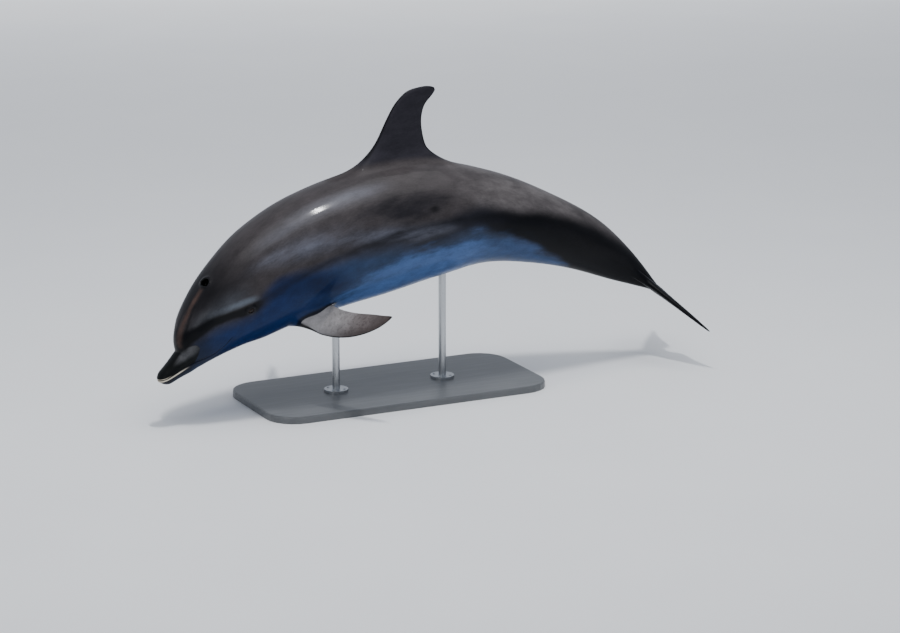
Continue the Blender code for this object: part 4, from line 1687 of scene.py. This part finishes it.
@dataclass(frozen=True)
class WetSkin:
    """The dolphin's skin: brown-grey above, cool grey below, with its stripes, streaks and wet gloss.

    Each marking is a colour laid on by a mask, and the last factor of a mask is the marking's strength.
    The brow highlight's line is a height in metres at the beak's tip, its rise over the length, and its half
    width.
    """

    back: Colour = tone(58, 54, 55)
    hem: Colour = tone(19, 21, 30)
    # Painted shade with a painted blue reflection: throat, jaw and lower flank are darker and bluer than
    # their own pale grey.
    throat_blue_shade: Colour = tone(13, 36, 77)
    jaw: Colour = tone(30, 34, 43)
    cool: Colour = tone(42, 58, 84)
    # Pale belly, painted darker and bluer than its own grey: painted shade with a painted blue reflection.
    pale: Colour = tone(70, 98, 146)
    # Paler paint of the shoulder blaze, also laid as the painted sheen along the back.
    blaze_and_sheen_light: Colour = tone(94, 96, 107)
    rear_light: Colour = tone(90, 86, 86)
    cheek_light: Colour = tone(74, 80, 88)
    # Painted highlight: the light on the brow ridge over the eye stripe.
    brow_highlight: Colour = tone(92, 99, 108)
    patch_dark: Colour = tone(25, 24, 29)
    stock_dark: Colour = tone(6, 7, 11)
    # Eye-to-flipper band: its own darker stripe, deepened with painted shade and a painted blue reflection.
    navy: Colour = tone(5, 24, 58)
    # Near-black of the eye stripe, melon line and blowhole ring, also laid as painted shade in the mouth's
    # groove and painted shadow round the flippers' roots.
    stripe: Colour = tone(3, 4, 7)
    forehead: Colour = tone(13, 12, 15)
    streak_brown: Colour = tone(72, 55, 49)
    beak_dark: Colour = tone(9, 12, 12)
    beak_light: Colour = tone(84, 84, 86)
    lip: Colour = tone(226, 216, 196)
    lid_grey: Colour = tone(62, 60, 62)
    fin: Colour = tone(40, 39, 45)
    # Painted sunlight: the flipper's pale grey, lightest at the root, stands for sun on a darker flipper.
    flipper: Colour = tone(146, 143, 143)
    flipper_mid: Colour = tone(96, 89, 88)
    flipper_tip: Colour = tone(62, 54, 52)
    edge: Colour = tone(9, 10, 13)
    # Near-black of the flank spot and ear pit, also the painted shade inside the blowhole and round the
    # eyeballs.
    hole: Colour = tone(3, 3, 4)
    brow_highlight_line: Triple = (0.1881, -0.675, 0.0135)
    gloss: float = 0.16
    coat_roughness: float = 0.085
    specular: float = 0.07
    relief: float = 0.0010

    def make(self) -> Material:
        """Builds the material from the skin's point values and noise along the body."""
        p = SkinPalette("wet_skin")
        jaw = p.station.fall(0.055, 0.135)
        self.ground(p, jaw)
        self.light_marks(p)
        self.dark_marks(p)
        self.head_marks(p)
        self.openings(p)
        self.limbs(p)
        fine = p.noise(p.body, 180.0, (0.5, 1, 1), 2.0, 5.0)
        patchy = p.noise(p.body, 30.0, (0.5, 1, 1), 3.0, 17.0)
        tint = 0.16 + p.clouds * 0.36 + fine * 0.42 + patchy * 0.90 + self.scratches(p) * 0.10
        pores = p.noise(p.body, 520.0, (1, 1, 1), 2.0, 2.0)
        soft = p.noise(p.body, 34.0, (0.6, 1, 1), 3.0, 7.0)
        height = pores * 0.10 + fine * 0.20 + soft * 0.30
        foot = p.value("fin_foot").rise(0.0, 0.45)
        dull = (p.value("stock_edge").rise(-0.030, 0.022) * p.behind_fin).most(jaw * 0.8)
        dull = dull.most(p.value("dorsal").rise(0.0, 0.02).most(foot) * 1.20)
        return p.finish(
            Base_Color=p.shade(p.colour, tint), Normal=p.bump(height, self.relief),
            Roughness=0.36 + (p.wisps - 0.5) * 0.16 + (fine - 0.5) * 0.08 + foot * 0.30,
            Coat_Weight=self.gloss - dull * 0.13, Coat_Roughness=self.coat_roughness,
            Specular_IOR_Level=self.specular,
        )

    def scratches(self, p: SkinPalette) -> Wire:
        """Faint long marks, thin level lines of stretched noise, in some stretches only."""
        lines = (p.noise(p.body, 9.0, (0.22, 7.0, 5.0), 1.0, 14.0) - 0.5).peak(1 / 60)
        return lines * p.noise(p.body, 3.4, (1, 1, 1), 1.0, 31.0).rise(0.54, 0.66)

    def ground(self, p: SkinPalette, jaw: Wire) -> None:
        """Starts the colour: the brown-grey back with its dark hem, and the underside in painted shade and
        painted blue reflection, darker and bluer than its own pale grey.

        Args:
            p: the skin's palette.
            jaw: where the jaw's darker grey, painted shade under the head, lies.
        """
        rearward, further = p.station.rise(0.20, 0.42), p.station.rise(0.31, 0.46)
        edge = p.value("cool_edge") + p.wobble
        hem = (edge + 0.045).peak(0.085).rise(0.0, 0.8) * (0.25 * rearward + 0.75 * further)
        above = p.blend(self.back, self.hem, hem * 0.85)
        # Painted shade and painted blue reflection on the throat, jaw and lower flank.
        below = p.blend(p.blend(self.throat_blue_shade, self.cool, rearward), self.jaw, jaw * 0.85)
        p.colour = p.blend(above, below, edge.rise(-0.040, 0.045) * p.before_flukes)

    def light_marks(self, p: SkinPalette) -> None:
        """Paler streaks of shoulder, rear back and cheek, a painted sheen on the back, and the belly's pale
        in painted shade.

        Args:
            p: the skin's palette.
        """
        p.paint(self.blaze_and_sheen_light, p.value("shoulder") * p.mottle * 0.84)
        # Painted sheen along the upper back, over a little paler paint.
        p.paint(self.blaze_and_sheen_light, p.value("sheen") * (0.25 + 0.35 * p.mottle))
        above = (p.ragged * 0.03 - p.value("stock_edge")).rise(-0.015, 0.05)
        marbled = p.noise(p.body, 20.0, (0.45, 1, 1), 5.0, 21.0, 0.62).rise(0.36, 0.62)
        strength = 0.10 + 0.40 * p.mottle + 0.45 * marbled
        p.paint(self.rear_light, above * p.station.rise(0.52, 0.60) * strength)
        p.paint(self.cheek_light, p.value("cheek") * 0.44)
        # The pale belly, in painted shade with a painted blue reflection.
        under = (p.value("pale_edge") + (p.wisps - 0.5) * 0.24 + p.ragged * 0.05).rise(-0.036, 0.044)
        ends = (0.30 + 0.70 * p.station.rise(0.20, 0.30)) * (1 - 0.60 * p.station.rise(0.54, 0.64))
        p.paint(self.pale, under * p.before_flukes * ends * (0.66 + 0.34 * p.mottle))

    def dark_marks(self, p: SkinPalette) -> None:
        """The dark patch below the fin, the black sides of the tail stock, and the eye-to-flipper band,
        deepened with painted shade and a painted blue reflection.

        Args:
            p: the skin's palette.
        """
        patch = p.value("patch") + (p.wisps - 0.5) * 2.3 + p.ragged * 0.9
        p.paint(self.patch_dark, patch.rise(0.0, 0.95) * 0.85)
        p.paint(self.hole, (p.value("spot") + p.ragged * 0.5).rise(0.0, 0.8) * 0.75)
        below = (p.value("stock_edge") + p.wobble).rise(-0.030, 0.022)
        above_belly = (p.value("cool_edge") + p.wobble * 0.8).fall(-0.022, 0.016)
        beyond = p.station.rise(0.77, 0.83)
        p.paint(self.stock_dark, below * (p.behind_fin * above_belly).most(beyond) * 0.93)
        # Eye-to-flipper band, deepened with painted shade and a painted blue reflection.
        navy = (p.value("navy_inside") + p.wobble * 0.8).rise(-0.020, 0.035)
        p.paint(self.navy, navy * p.between(0.165, 0.21, 0.29, 0.36) * 0.85)

    def head_marks(self, p: SkinPalette) -> None:
        """Forehead, painted highlight on the brow, beak, eye stripe, the streaks before the blowhole, and the
        ear.

        Args:
            p: the skin's palette.
        """
        p.paint(self.forehead, p.station.fall(0.13, 0.24) * p.height.rise(0.085, 0.165) * 0.94)
        inside = p.value("stripe_inside")
        p.paint(self.stripe, (inside + p.ragged * 0.020).rise(-0.024, 0.006) * 0.45)
        # Painted highlight along the brow ridge, strongest near the eye.
        start, slope, half = self.brow_highlight_line
        off = (p.height - (p.station * slope + start)) / half
        brow = (1 - off * off * 0.5).most(0.0) ** 2.0
        nearer = 0.30 + 0.60 * p.station.rise(0.125, 0.166)
        p.paint(self.brow_highlight, brow * p.between(0.104, 0.140, 0.172, 0.193) * nearer)
        beak = (p.value("beak_inside") + p.ragged * 0.004).rise(-0.004, 0.003)
        front = 1 - p.station.rise(0.050, 0.120) * 0.5
        upper = p.value("lip").rise(-0.002, 0.003)
        p.paint(self.beak_dark, beak * front * (0.35 + 0.60 * upper))
        light = (p.value("beak") + p.ragged * 0.6).rise(0.0, 0.75)
        p.paint(self.beak_light, light * beak * upper * 0.85)
        fading = 1 - 0.75 * p.station.rise(0.176, 0.196)
        p.paint(self.stripe, (inside + p.ragged * 0.016).rise(-0.0075, 0.0075) * fading * 0.97)
        streak = (p.value("streak_inside") + p.ragged * 0.018).rise(-0.013, 0.013)
        p.paint(self.streak_brown, streak * (1 - beak) * (p.ragged * 2.0 + 0.62))
        p.paint(self.stripe, p.value("thin_line") * (1 - beak) * 0.62)
        p.paint(self.hole, p.value("ear").rise(0.0, 0.6))

    def openings(self, p: SkinPalette) -> None:
        """The lips' pale rims, painted shade along the mouth's groove, the eyelids, the blowhole and painted
        shade inside its pocket and round the eyeballs.

        Args:
            p: the skin's palette.
        """
        lip = p.value("lip")
        rim = (lip + 0.0040).peak(1 / 330).rise(0.0, 0.55) * p.station.fall(0.030, 0.050)
        upper_rim = (lip - 0.0034).peak(1 / 520).rise(0.0, 0.6) * p.station.fall(0.006, 0.020)
        p.paint(self.lip, rim.most(upper_rim * 0.8))
        # Painted shade: a dark line along the mouth's groove.
        p.paint(self.stripe, lip.peak(1 / 420) * p.station.fall(0.120, 0.1248) * 0.85)
        p.paint(self.lid_grey, p.value("lid") * 0.30)
        p.paint(self.stripe, (p.value("blowhole") + p.ragged * 0.4).rise(0.0, 0.5) * 0.88)
        # Painted shade: the blowhole's pocket and the socket round each eyeball are painted near black.
        p.paint(self.hole, p.value("hollow").rise(0.25, 0.75))

    def limbs(self, p: SkinPalette) -> None:
        """Fin, flukes and flippers, with dark leading edges and tips, painted shadow round the flippers'
        roots and painted sunlight on their pale grey.

        Args:
            p: the skin's palette.
        """
        chord, span = p.value("chord") + p.ragged * 0.03, p.value("span") + p.ragged * 0.05
        dorsal, flipper, fluke = p.value("dorsal"), p.value("flipper"), p.value("fluke")
        p.paint(self.fin, dorsal.rise(0.12, 0.60) * 0.92)
        p.paint(self.stock_dark, fluke.rise(0.1, 0.6) * 0.92)
        # Painted shadow: a near-black band round each flipper's root, widest at the trailing edge.
        grown = flipper + p.ragged * 0.05 + chord.fall(0.0, 0.55) * flipper.rise(0.0, 0.3) * 0.30
        grown = grown - chord.rise(0.70, 1.0) * 0.32
        p.paint(self.stripe, grown.rise(0.02, 0.30) * 0.88)
        tip = span.rise(0.95, 1.0)
        freckles = p.noise(p.body, 90.0, (1, 1, 1), 3.0, 12.0).rise(0.50, 0.66)
        # Painted sunlight on the flipper's pale grey, fading darker towards the tip.
        skin = p.blend(self.flipper, self.flipper_mid, span.rise(0.38, 0.70))
        skin = p.blend(skin, self.flipper_tip, span.rise(0.66, 0.98))
        skin = p.blend(skin, self.flipper_tip, chord.fall(0.04, 0.50) * span.rise(0.30, 0.62) * 0.75)
        skin = p.blend(skin, self.flipper_tip, freckles * span.rise(0.2, 0.7) * 0.45)
        skin = p.blend(skin, self.edge, chord.fall(0.010, 0.050).most(tip) * 0.94)
        p.paint(skin, grown.rise(0.44, 0.54))
        limb = dorsal.rise(0.5, 0.8).most(fluke.rise(0.5, 0.8))
        rim = chord.fall(0.01, 0.05).most(chord.rise(0.955, 0.995)).most(tip)
        p.paint(self.edge, limb * rim * 0.75)


@dataclass(frozen=True)
class EyeGlass:
    """A wet, dark brown eye with a wide, flat pupil."""

    white: Colour = tone(22, 17, 16)
    iris: Colour = tone(40, 26, 17)
    pupil: Colour = tone(6, 6, 8)
    iris_size: float = 0.62
    pupil_size: Pair = (0.36, 0.20)

    def make(self) -> Material:
        """Builds the material: two ovals of the gaze values, with fine spokes in the iris."""
        p = Palette("eye_glass")
        x, y = p.value("gaze_x"), p.value("gaze_y")
        across, upward = self.pupil_size
        out = (x * x + y * y) ** 0.5
        hole = ((x / across) ** 2.0 + ((y + 0.05) / upward) ** 2.0) ** 0.5
        spokes = p.noise(p.place(), 900.0, detail=2.0)
        iris = p.blend(self.iris, self.white, spokes.rise(0.35, 0.75))
        colour = p.blend(iris, self.white, out.rise(self.iris_size - 0.05, self.iris_size + 0.05))
        colour = p.blend(self.pupil, colour, hole.rise(0.85, 1.1))
        return p.finish(
            Base_Color=colour, Roughness=0.20, Coat_Weight=0.32, Coat_Roughness=0.03, Specular_IOR_Level=0.10
        )


@dataclass(frozen=True)
class SatinBoard:
    """Dark grey satin lacquer on board, with a faint grain and dust."""

    lacquer: Colour = tone(84, 86, 88)
    worn: Colour = tone(106, 108, 110)

    def make(self) -> Material:
        """Builds the material from noise stretched along the board."""
        p = Palette("satin_board")
        grain = p.noise(p.place(), 60.0, (0.08, 1, 1), 4.0)
        cloud = p.noise(p.place(), 4.0, shift=4.0)
        peel = p.noise(p.place(), 420.0, detail=2.0, shift=8.0)
        colour = p.blend(self.lacquer, self.worn, grain.rise(0.35, 0.75) * 0.4 + cloud.rise(0.4, 0.7) * 0.3)
        roughness = 0.34 + (cloud - 0.5) * 0.15
        height = peel * 0.6 + grain * 0.4
        return p.finish(Base_Color=colour, Roughness=roughness, Normal=p.bump(height, 0.00012))


@dataclass(frozen=True)
class BrushedSteel:
    """Steel brushed round its length, as rods and turned flanges are."""

    steel: Colour = tone(196, 198, 200)
    shadow: Colour = tone(176, 179, 182)

    def make(self) -> Material:
        """Builds the material from noise that is fine along the rods and long round them."""
        p = Palette("brushed_steel")
        brush = p.noise(p.place(), 160.0, (0.5, 0.5, 30.0), 2.0)
        smear = p.noise(p.place(), 14.0, shift=5.0)
        colour = p.blend(self.shadow, self.steel, brush.rise(0.3, 0.7))
        roughness = 0.24 + brush * 0.12 + (smear - 0.5) * 0.12
        return p.finish(Base_Color=colour, Metallic=1.0, Roughness=roughness, Normal=p.bump(brush, 0.00002))


@dataclass(frozen=True)
class Rubber:
    """Matt black rubber of the collars."""

    black: Colour = tone(28, 28, 30)
    dust: Colour = tone(52, 52, 54)

    def make(self) -> Material:
        """Builds the material from fine noise."""
        p = Palette("rubber")
        grain = p.noise(p.place(), 500.0, detail=2.0)
        colour = p.blend(self.black, self.dust, grain.rise(0.4, 0.8))
        return p.finish(Base_Color=colour, Roughness=0.6 + (grain - 0.5) * 0.2, Normal=p.bump(grain, 0.0001))


@dataclass(frozen=True)
class StudioFloor:
    """The plain pale floor."""

    pale: Colour = tone(231, 232, 234)
    paler: Colour = tone(236, 237, 238)

    def make(self) -> Material:
        """Builds the material from broad, weak noise."""
        p = Palette("studio_floor")
        cloud = p.noise(p.place(), 1.5, detail=2.0)
        colour = p.blend(self.pale, self.paler, cloud)
        return p.finish(Base_Color=colour, Roughness=0.55 + (cloud - 0.5) * 0.1)


def dress(obj: Object, material: Material) -> None:
    """Makes a material the only one on an object."""
    obj.data.materials.clear()
    obj.data.materials.append(material)


# ---- stand ----


def revolve_grid(profile: Array, spokes: int) -> Array:
    """Turns a profile round the Z axis: (r cos u, r sin u, z).

    Args:
        profile: radius and height, shape (rows, 2). A closed ring repeats its first row at the end.
        spokes: steps round the turn.

    Returns:
        Points, shape (rows, spokes, 3).
    """
    turn = np.linspace(0, 2 * math.pi, spokes, endpoint=False)
    radius, height = profile[:, :1], profile[:, 1:]
    return np.stack([radius * np.cos(turn), radius * np.sin(turn), height * np.ones_like(turn)], -1)


def top_of(node: str) -> Array:
    """The middle of the top of a node's box."""
    low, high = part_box(node)
    return np.array([(low.x + high.x) / 2, (low.y + high.y) / 2, high.z])


@dataclass
class StandTrim:
    """The stand's finishes, the screws in its flanges and the collars where its rods enter the belly."""

    form: BodyForm
    screw_radius: float = 0.0048
    screw_height: float = 0.0030
    screw_circle: float = 0.035
    screws: int = 4
    collar_radius: float = 0.0195
    collar_tube: float = 0.0048

    def build(self) -> None:
        """Finishes the stand's own nodes and adds the screws and collars."""
        board, steel, rubber = SatinBoard().make(), BrushedSteel().make(), Rubber().make()
        for name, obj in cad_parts.items():
            if name.startswith("stand_"):
                dress(obj, board if name == "stand_base" else steel)
        for where, station in (("front", FRONT_ROD_STATION), ("rear", REAR_ROD_STATION)):
            screws = self.build_screws("stand_flange_" + where)
            dress(screws, steel)
            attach(screws, "root")
            collar = self.build_collar("stand_rod_" + where, station)
            dress(collar, rubber)
            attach(collar, "root")
            LOG.info("%s and %s", screws.name, collar.name)

    def screw_head(self) -> Array:
        """Profile of a round head with a blind socket: up the side, over the dome, into the socket."""
        r, h = self.screw_radius, self.screw_height
        swing = np.linspace(0, math.pi / 2, 7)[:, None]
        dome = np.hstack([0.45 * r + 0.55 * r * np.cos(swing), 0.35 * h + 0.65 * h * np.sin(swing)])
        foot = np.array([[0.02 * r, -0.0004], [r, -0.0004]])
        socket = np.array([[0.42 * r, h * 0.92], [0.40 * r, h * 0.45], [0.02 * r, h * 0.42]])
        return np.vstack([foot, dome, socket])

    def build_screws(self, flange: str) -> Object:
        """Builds one flange's screws as one mesh.

        Args:
            flange: the flange's node.

        Returns:
            The object.
        """
        centre = top_of(flange)
        head = revolve_grid(self.screw_head(), 24)
        bearings = (np.arange(self.screws) + 0.5) * 2 * math.pi / self.screws
        seats = np.stack([np.cos(bearings), np.sin(bearings), 0 * bearings], 1) * self.screw_circle
        points = head[None] + (centre + seats)[:, None, None]
        numbers = np.arange(head[..., 0].size).reshape(head.shape[:2])
        ring = np.hstack([numbers, numbers[:, :1]])
        screw = quads_of(ring)[..., ::-1].reshape(-1, 4).tolist()
        screw += [numbers[0][::-1].tolist(), numbers[-1].tolist()]
        starts = range(0, self.screws * numbers.size, numbers.size)
        faces = [[corner + start for corner in face] for start in starts for face in screw]
        screws = put_faces(flange + "_screws", points, faces)
        screws.data.set_sharp_from_angle(angle=math.radians(40))
        return screws

    def build_collar(self, rod: str, station: float) -> Object:
        """Builds a collar round a rod, a ring whose height follows the belly's slope.

        Args:
            rod: the rod's node.
            station: where the rod enters the belly.

        Returns:
            The object.
        """
        axis = top_of(rod)
        seat, _, out, _ = self.form.frame_at(station, math.pi)
        turn = np.linspace(0, 2 * math.pi, 16, endpoint=False)
        tube = self.collar_tube
        profile = np.stack([self.collar_radius + tube * np.cos(turn), 0.8 * tube * np.sin(turn)], 1)
        points = revolve_grid(profile, 48)
        slope = -(points[..., 0] * out[0] + points[..., 1] * out[1]) / out[2]
        points = points + np.array([axis[0], axis[1], seat[2] - 0.001])
        points[..., 2] += slope
        numbers = np.arange(points[..., 0].size).reshape(points.shape[:2])
        ring = np.pad(numbers, ((0, 1), (0, 1)), mode="wrap")
        return put_faces(rod + "_collar", points, quads_of(ring)[..., ::-1].reshape(-1, 4))


# ---- studio ----


@dataclass(frozen=True)
class Panel:
    """A soft, white, rectangular light, with its width and height in metres and its power in watts."""

    name: str
    size: Pair
    power: float


@dataclass
class Studio:
    """The floor, the lights and the camera. Angles are degrees, distances metres.

    The camera looks at a point of the spine from the animal's left, a little ahead of it and above. The
    point stands off the picture's middle by shares of the picture's width. The glint is the station and
    the angle at which the skin mirrors the small lamp to the camera.
    """

    form: BodyForm
    turn: float = 25.0
    fall: float = 13.0
    distance: float = 12.5
    lens: float = 127.0
    target: float = 0.45
    off_middle: Pair = (-0.0696, 0.0957)
    sensor: float = 36.0
    glint: Pair = (0.322, 29.0)
    lamp_distance: float = 6.0
    sky: Panel = Panel("sky_panel", (9.0, 5.0), 265.0)
    front: Panel = Panel("front_panel", (4.0, 3.0), 60.0)
    front_place: Triple = (-9.0, -5.0, 4.0)
    backdrop: Panel = Panel("backdrop_panel", (12.0, 5.0), 1200.0)
    backdrop_place: Triple = (5.0, 13.0, 7.0)
    backdrop_aim: Triple = (6.0, 16.0, 0.0)
    spark_size: Pair = (0.12, 1.10)
    spark_power: float = 230.0
    air: Colour = (0.80, 0.87, 1.0, 1.0)
    air_strength: float = 0.55
    floor_half: float = 60.0

    def look(self) -> Array:
        """The direction from the camera to the animal."""
        turn, fall = math.radians(self.turn), math.radians(self.fall)
        return np.array([
            math.sin(turn) * math.cos(fall), math.cos(turn) * math.cos(fall), -math.sin(fall),
        ])

    def aimed(self, name: str, data: object, place: Array, way: Array) -> Object:
        """Puts a camera or a light in the scene.

        Args:
            name: its name.
            data: the camera or the light.
            place: where it stands.
            way: the direction that it faces.

        Returns:
            The object.
        """
        obj = bpy.data.objects.new(name, data)
        bpy.context.scene.collection.objects.link(obj)
        obj.location = Vector(place)
        obj.rotation_euler = Vector(way).to_track_quat("-Z", "Y").to_euler()
        return obj

    def place_camera(self) -> None:
        """Sets the camera with no shift: it turns until the target stands off the middle as stated."""
        look = self.look()
        right = unit(np.cross(look, [0.0, 0.0, 1.0]))
        upward = np.cross(right, look)
        across, up = (share * self.sensor / self.lens for share in self.off_middle)
        data = bpy.data.cameras.new("camera")
        data.lens, data.sensor_width = self.lens, self.sensor
        data.clip_end = 200.0
        place = self.form.spine.place(self.target, 0.0, 0.0) - look * self.distance
        camera = self.aimed("camera", data, place, look - right * across - upward * up)
        bpy.context.scene.camera = camera

    def hang(self, panel: Panel, place: Array, at: Array) -> None:
        """Hangs a panel light.

        Args:
            panel: the panel.
            place: where it hangs.
            at: the point that it faces.
        """
        data = bpy.data.lights.new(panel.name, "AREA")
        data.shape = "RECTANGLE"
        data.size, data.size_y = panel.size
        data.energy = panel.power
        self.aimed(panel.name, data, place, at - place)

    def place_lights(self) -> None:
        """Hangs the lights and sets the air: the small lamp lies across the body over the glint."""
        station, angle = self.glint
        point, back, out, _ = self.form.frame_at(station, math.radians(angle))
        mirror = 2 * (out @ -self.look()) * out + self.look()
        spark = bpy.data.lights.new("spark", "AREA")
        spark.shape = "ELLIPSE"
        spark.size, spark.size_y = self.spark_size
        spark.energy = self.spark_power
        lamp = self.aimed("spark", spark, point + mirror * self.lamp_distance, -mirror)
        length = unit(back - mirror * (back @ mirror))
        turned = np.stack([length, np.cross(mirror, length), mirror], 1)
        lamp.rotation_euler = Matrix(turned.tolist()).to_euler()
        LOG.info("glint light towards %s", mirror.round(3))
        middle = self.form.spine.place(self.target, 0.0, 0.0)
        self.hang(self.sky, middle + mirror * self.lamp_distance, middle)
        self.hang(self.front, np.array(self.front_place), middle)
        self.hang(self.backdrop, np.array(self.backdrop_place), np.array(self.backdrop_aim))
        world = bpy.data.worlds.new("studio_air")
        bpy.context.scene.world = world
        world.use_nodes = True
        background = world.node_tree.nodes["Background"]
        background.inputs["Color"].default_value = self.air
        background.inputs["Strength"].default_value = self.air_strength

    def lay_floor(self) -> None:
        """Lays the floor under the stand."""
        corners = np.array([(-1, -1, 0), (1, -1, 0), (1, 1, 0), (-1, 1, 0)]) * self.floor_half
        floor = put_faces("floor", corners, [(0, 1, 2, 3)])
        dress(floor, StudioFloor().make())


# ---- main ----


def hung_form() -> BodyForm:
    """The body's form, hung so that the front rod meets the belly where it does in the frame."""
    form = BodyForm(Spine())
    entry = top_of("stand_rod_front") - np.array([0.0, 0.0, ROD_SOCKET])
    form.spine.hang(entry - form.point(FRONT_ROD_STATION, math.pi))
    return form


@dataclass
class Dolphin:
    """The whole animal: one skin and two eyes."""

    form: BodyForm
    skin_finish: WetSkin = WetSkin()
    eye_finish: EyeGlass = EyeGlass()

    def build(self) -> None:
        """Builds the skin and the two eyes and gives them their finishes."""
        eyes = [Eye(self.form, side) for side in Side]
        skin = Skin(self.form).build(eyes)
        dress(skin, self.skin_finish.make())
        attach(skin, "root")
        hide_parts(*FLESH_NODES)
        LOG.info("%s: %d faces", skin.name, len(skin.data.polygons))
        glass = self.eye_finish.make()
        for eye in eyes:
            ball = eye.build()
            dress(ball, glass)
            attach(ball, "root")
            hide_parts("eye_" + eye.side.label)
            LOG.info("%s: %d faces", ball.name, len(ball.data.polygons))


def main() -> None:
    """Builds the animal, its stand and the studio, in that order."""
    logging.basicConfig(level=logging.INFO, format="%(name)s: %(message)s")
    form = hung_form()
    Dolphin(form).build()
    StandTrim(form).build()
    studio = Studio(form)
    studio.lay_floor()
    studio.place_lights()
    studio.place_camera()


if __name__ == "__main__":
    main()
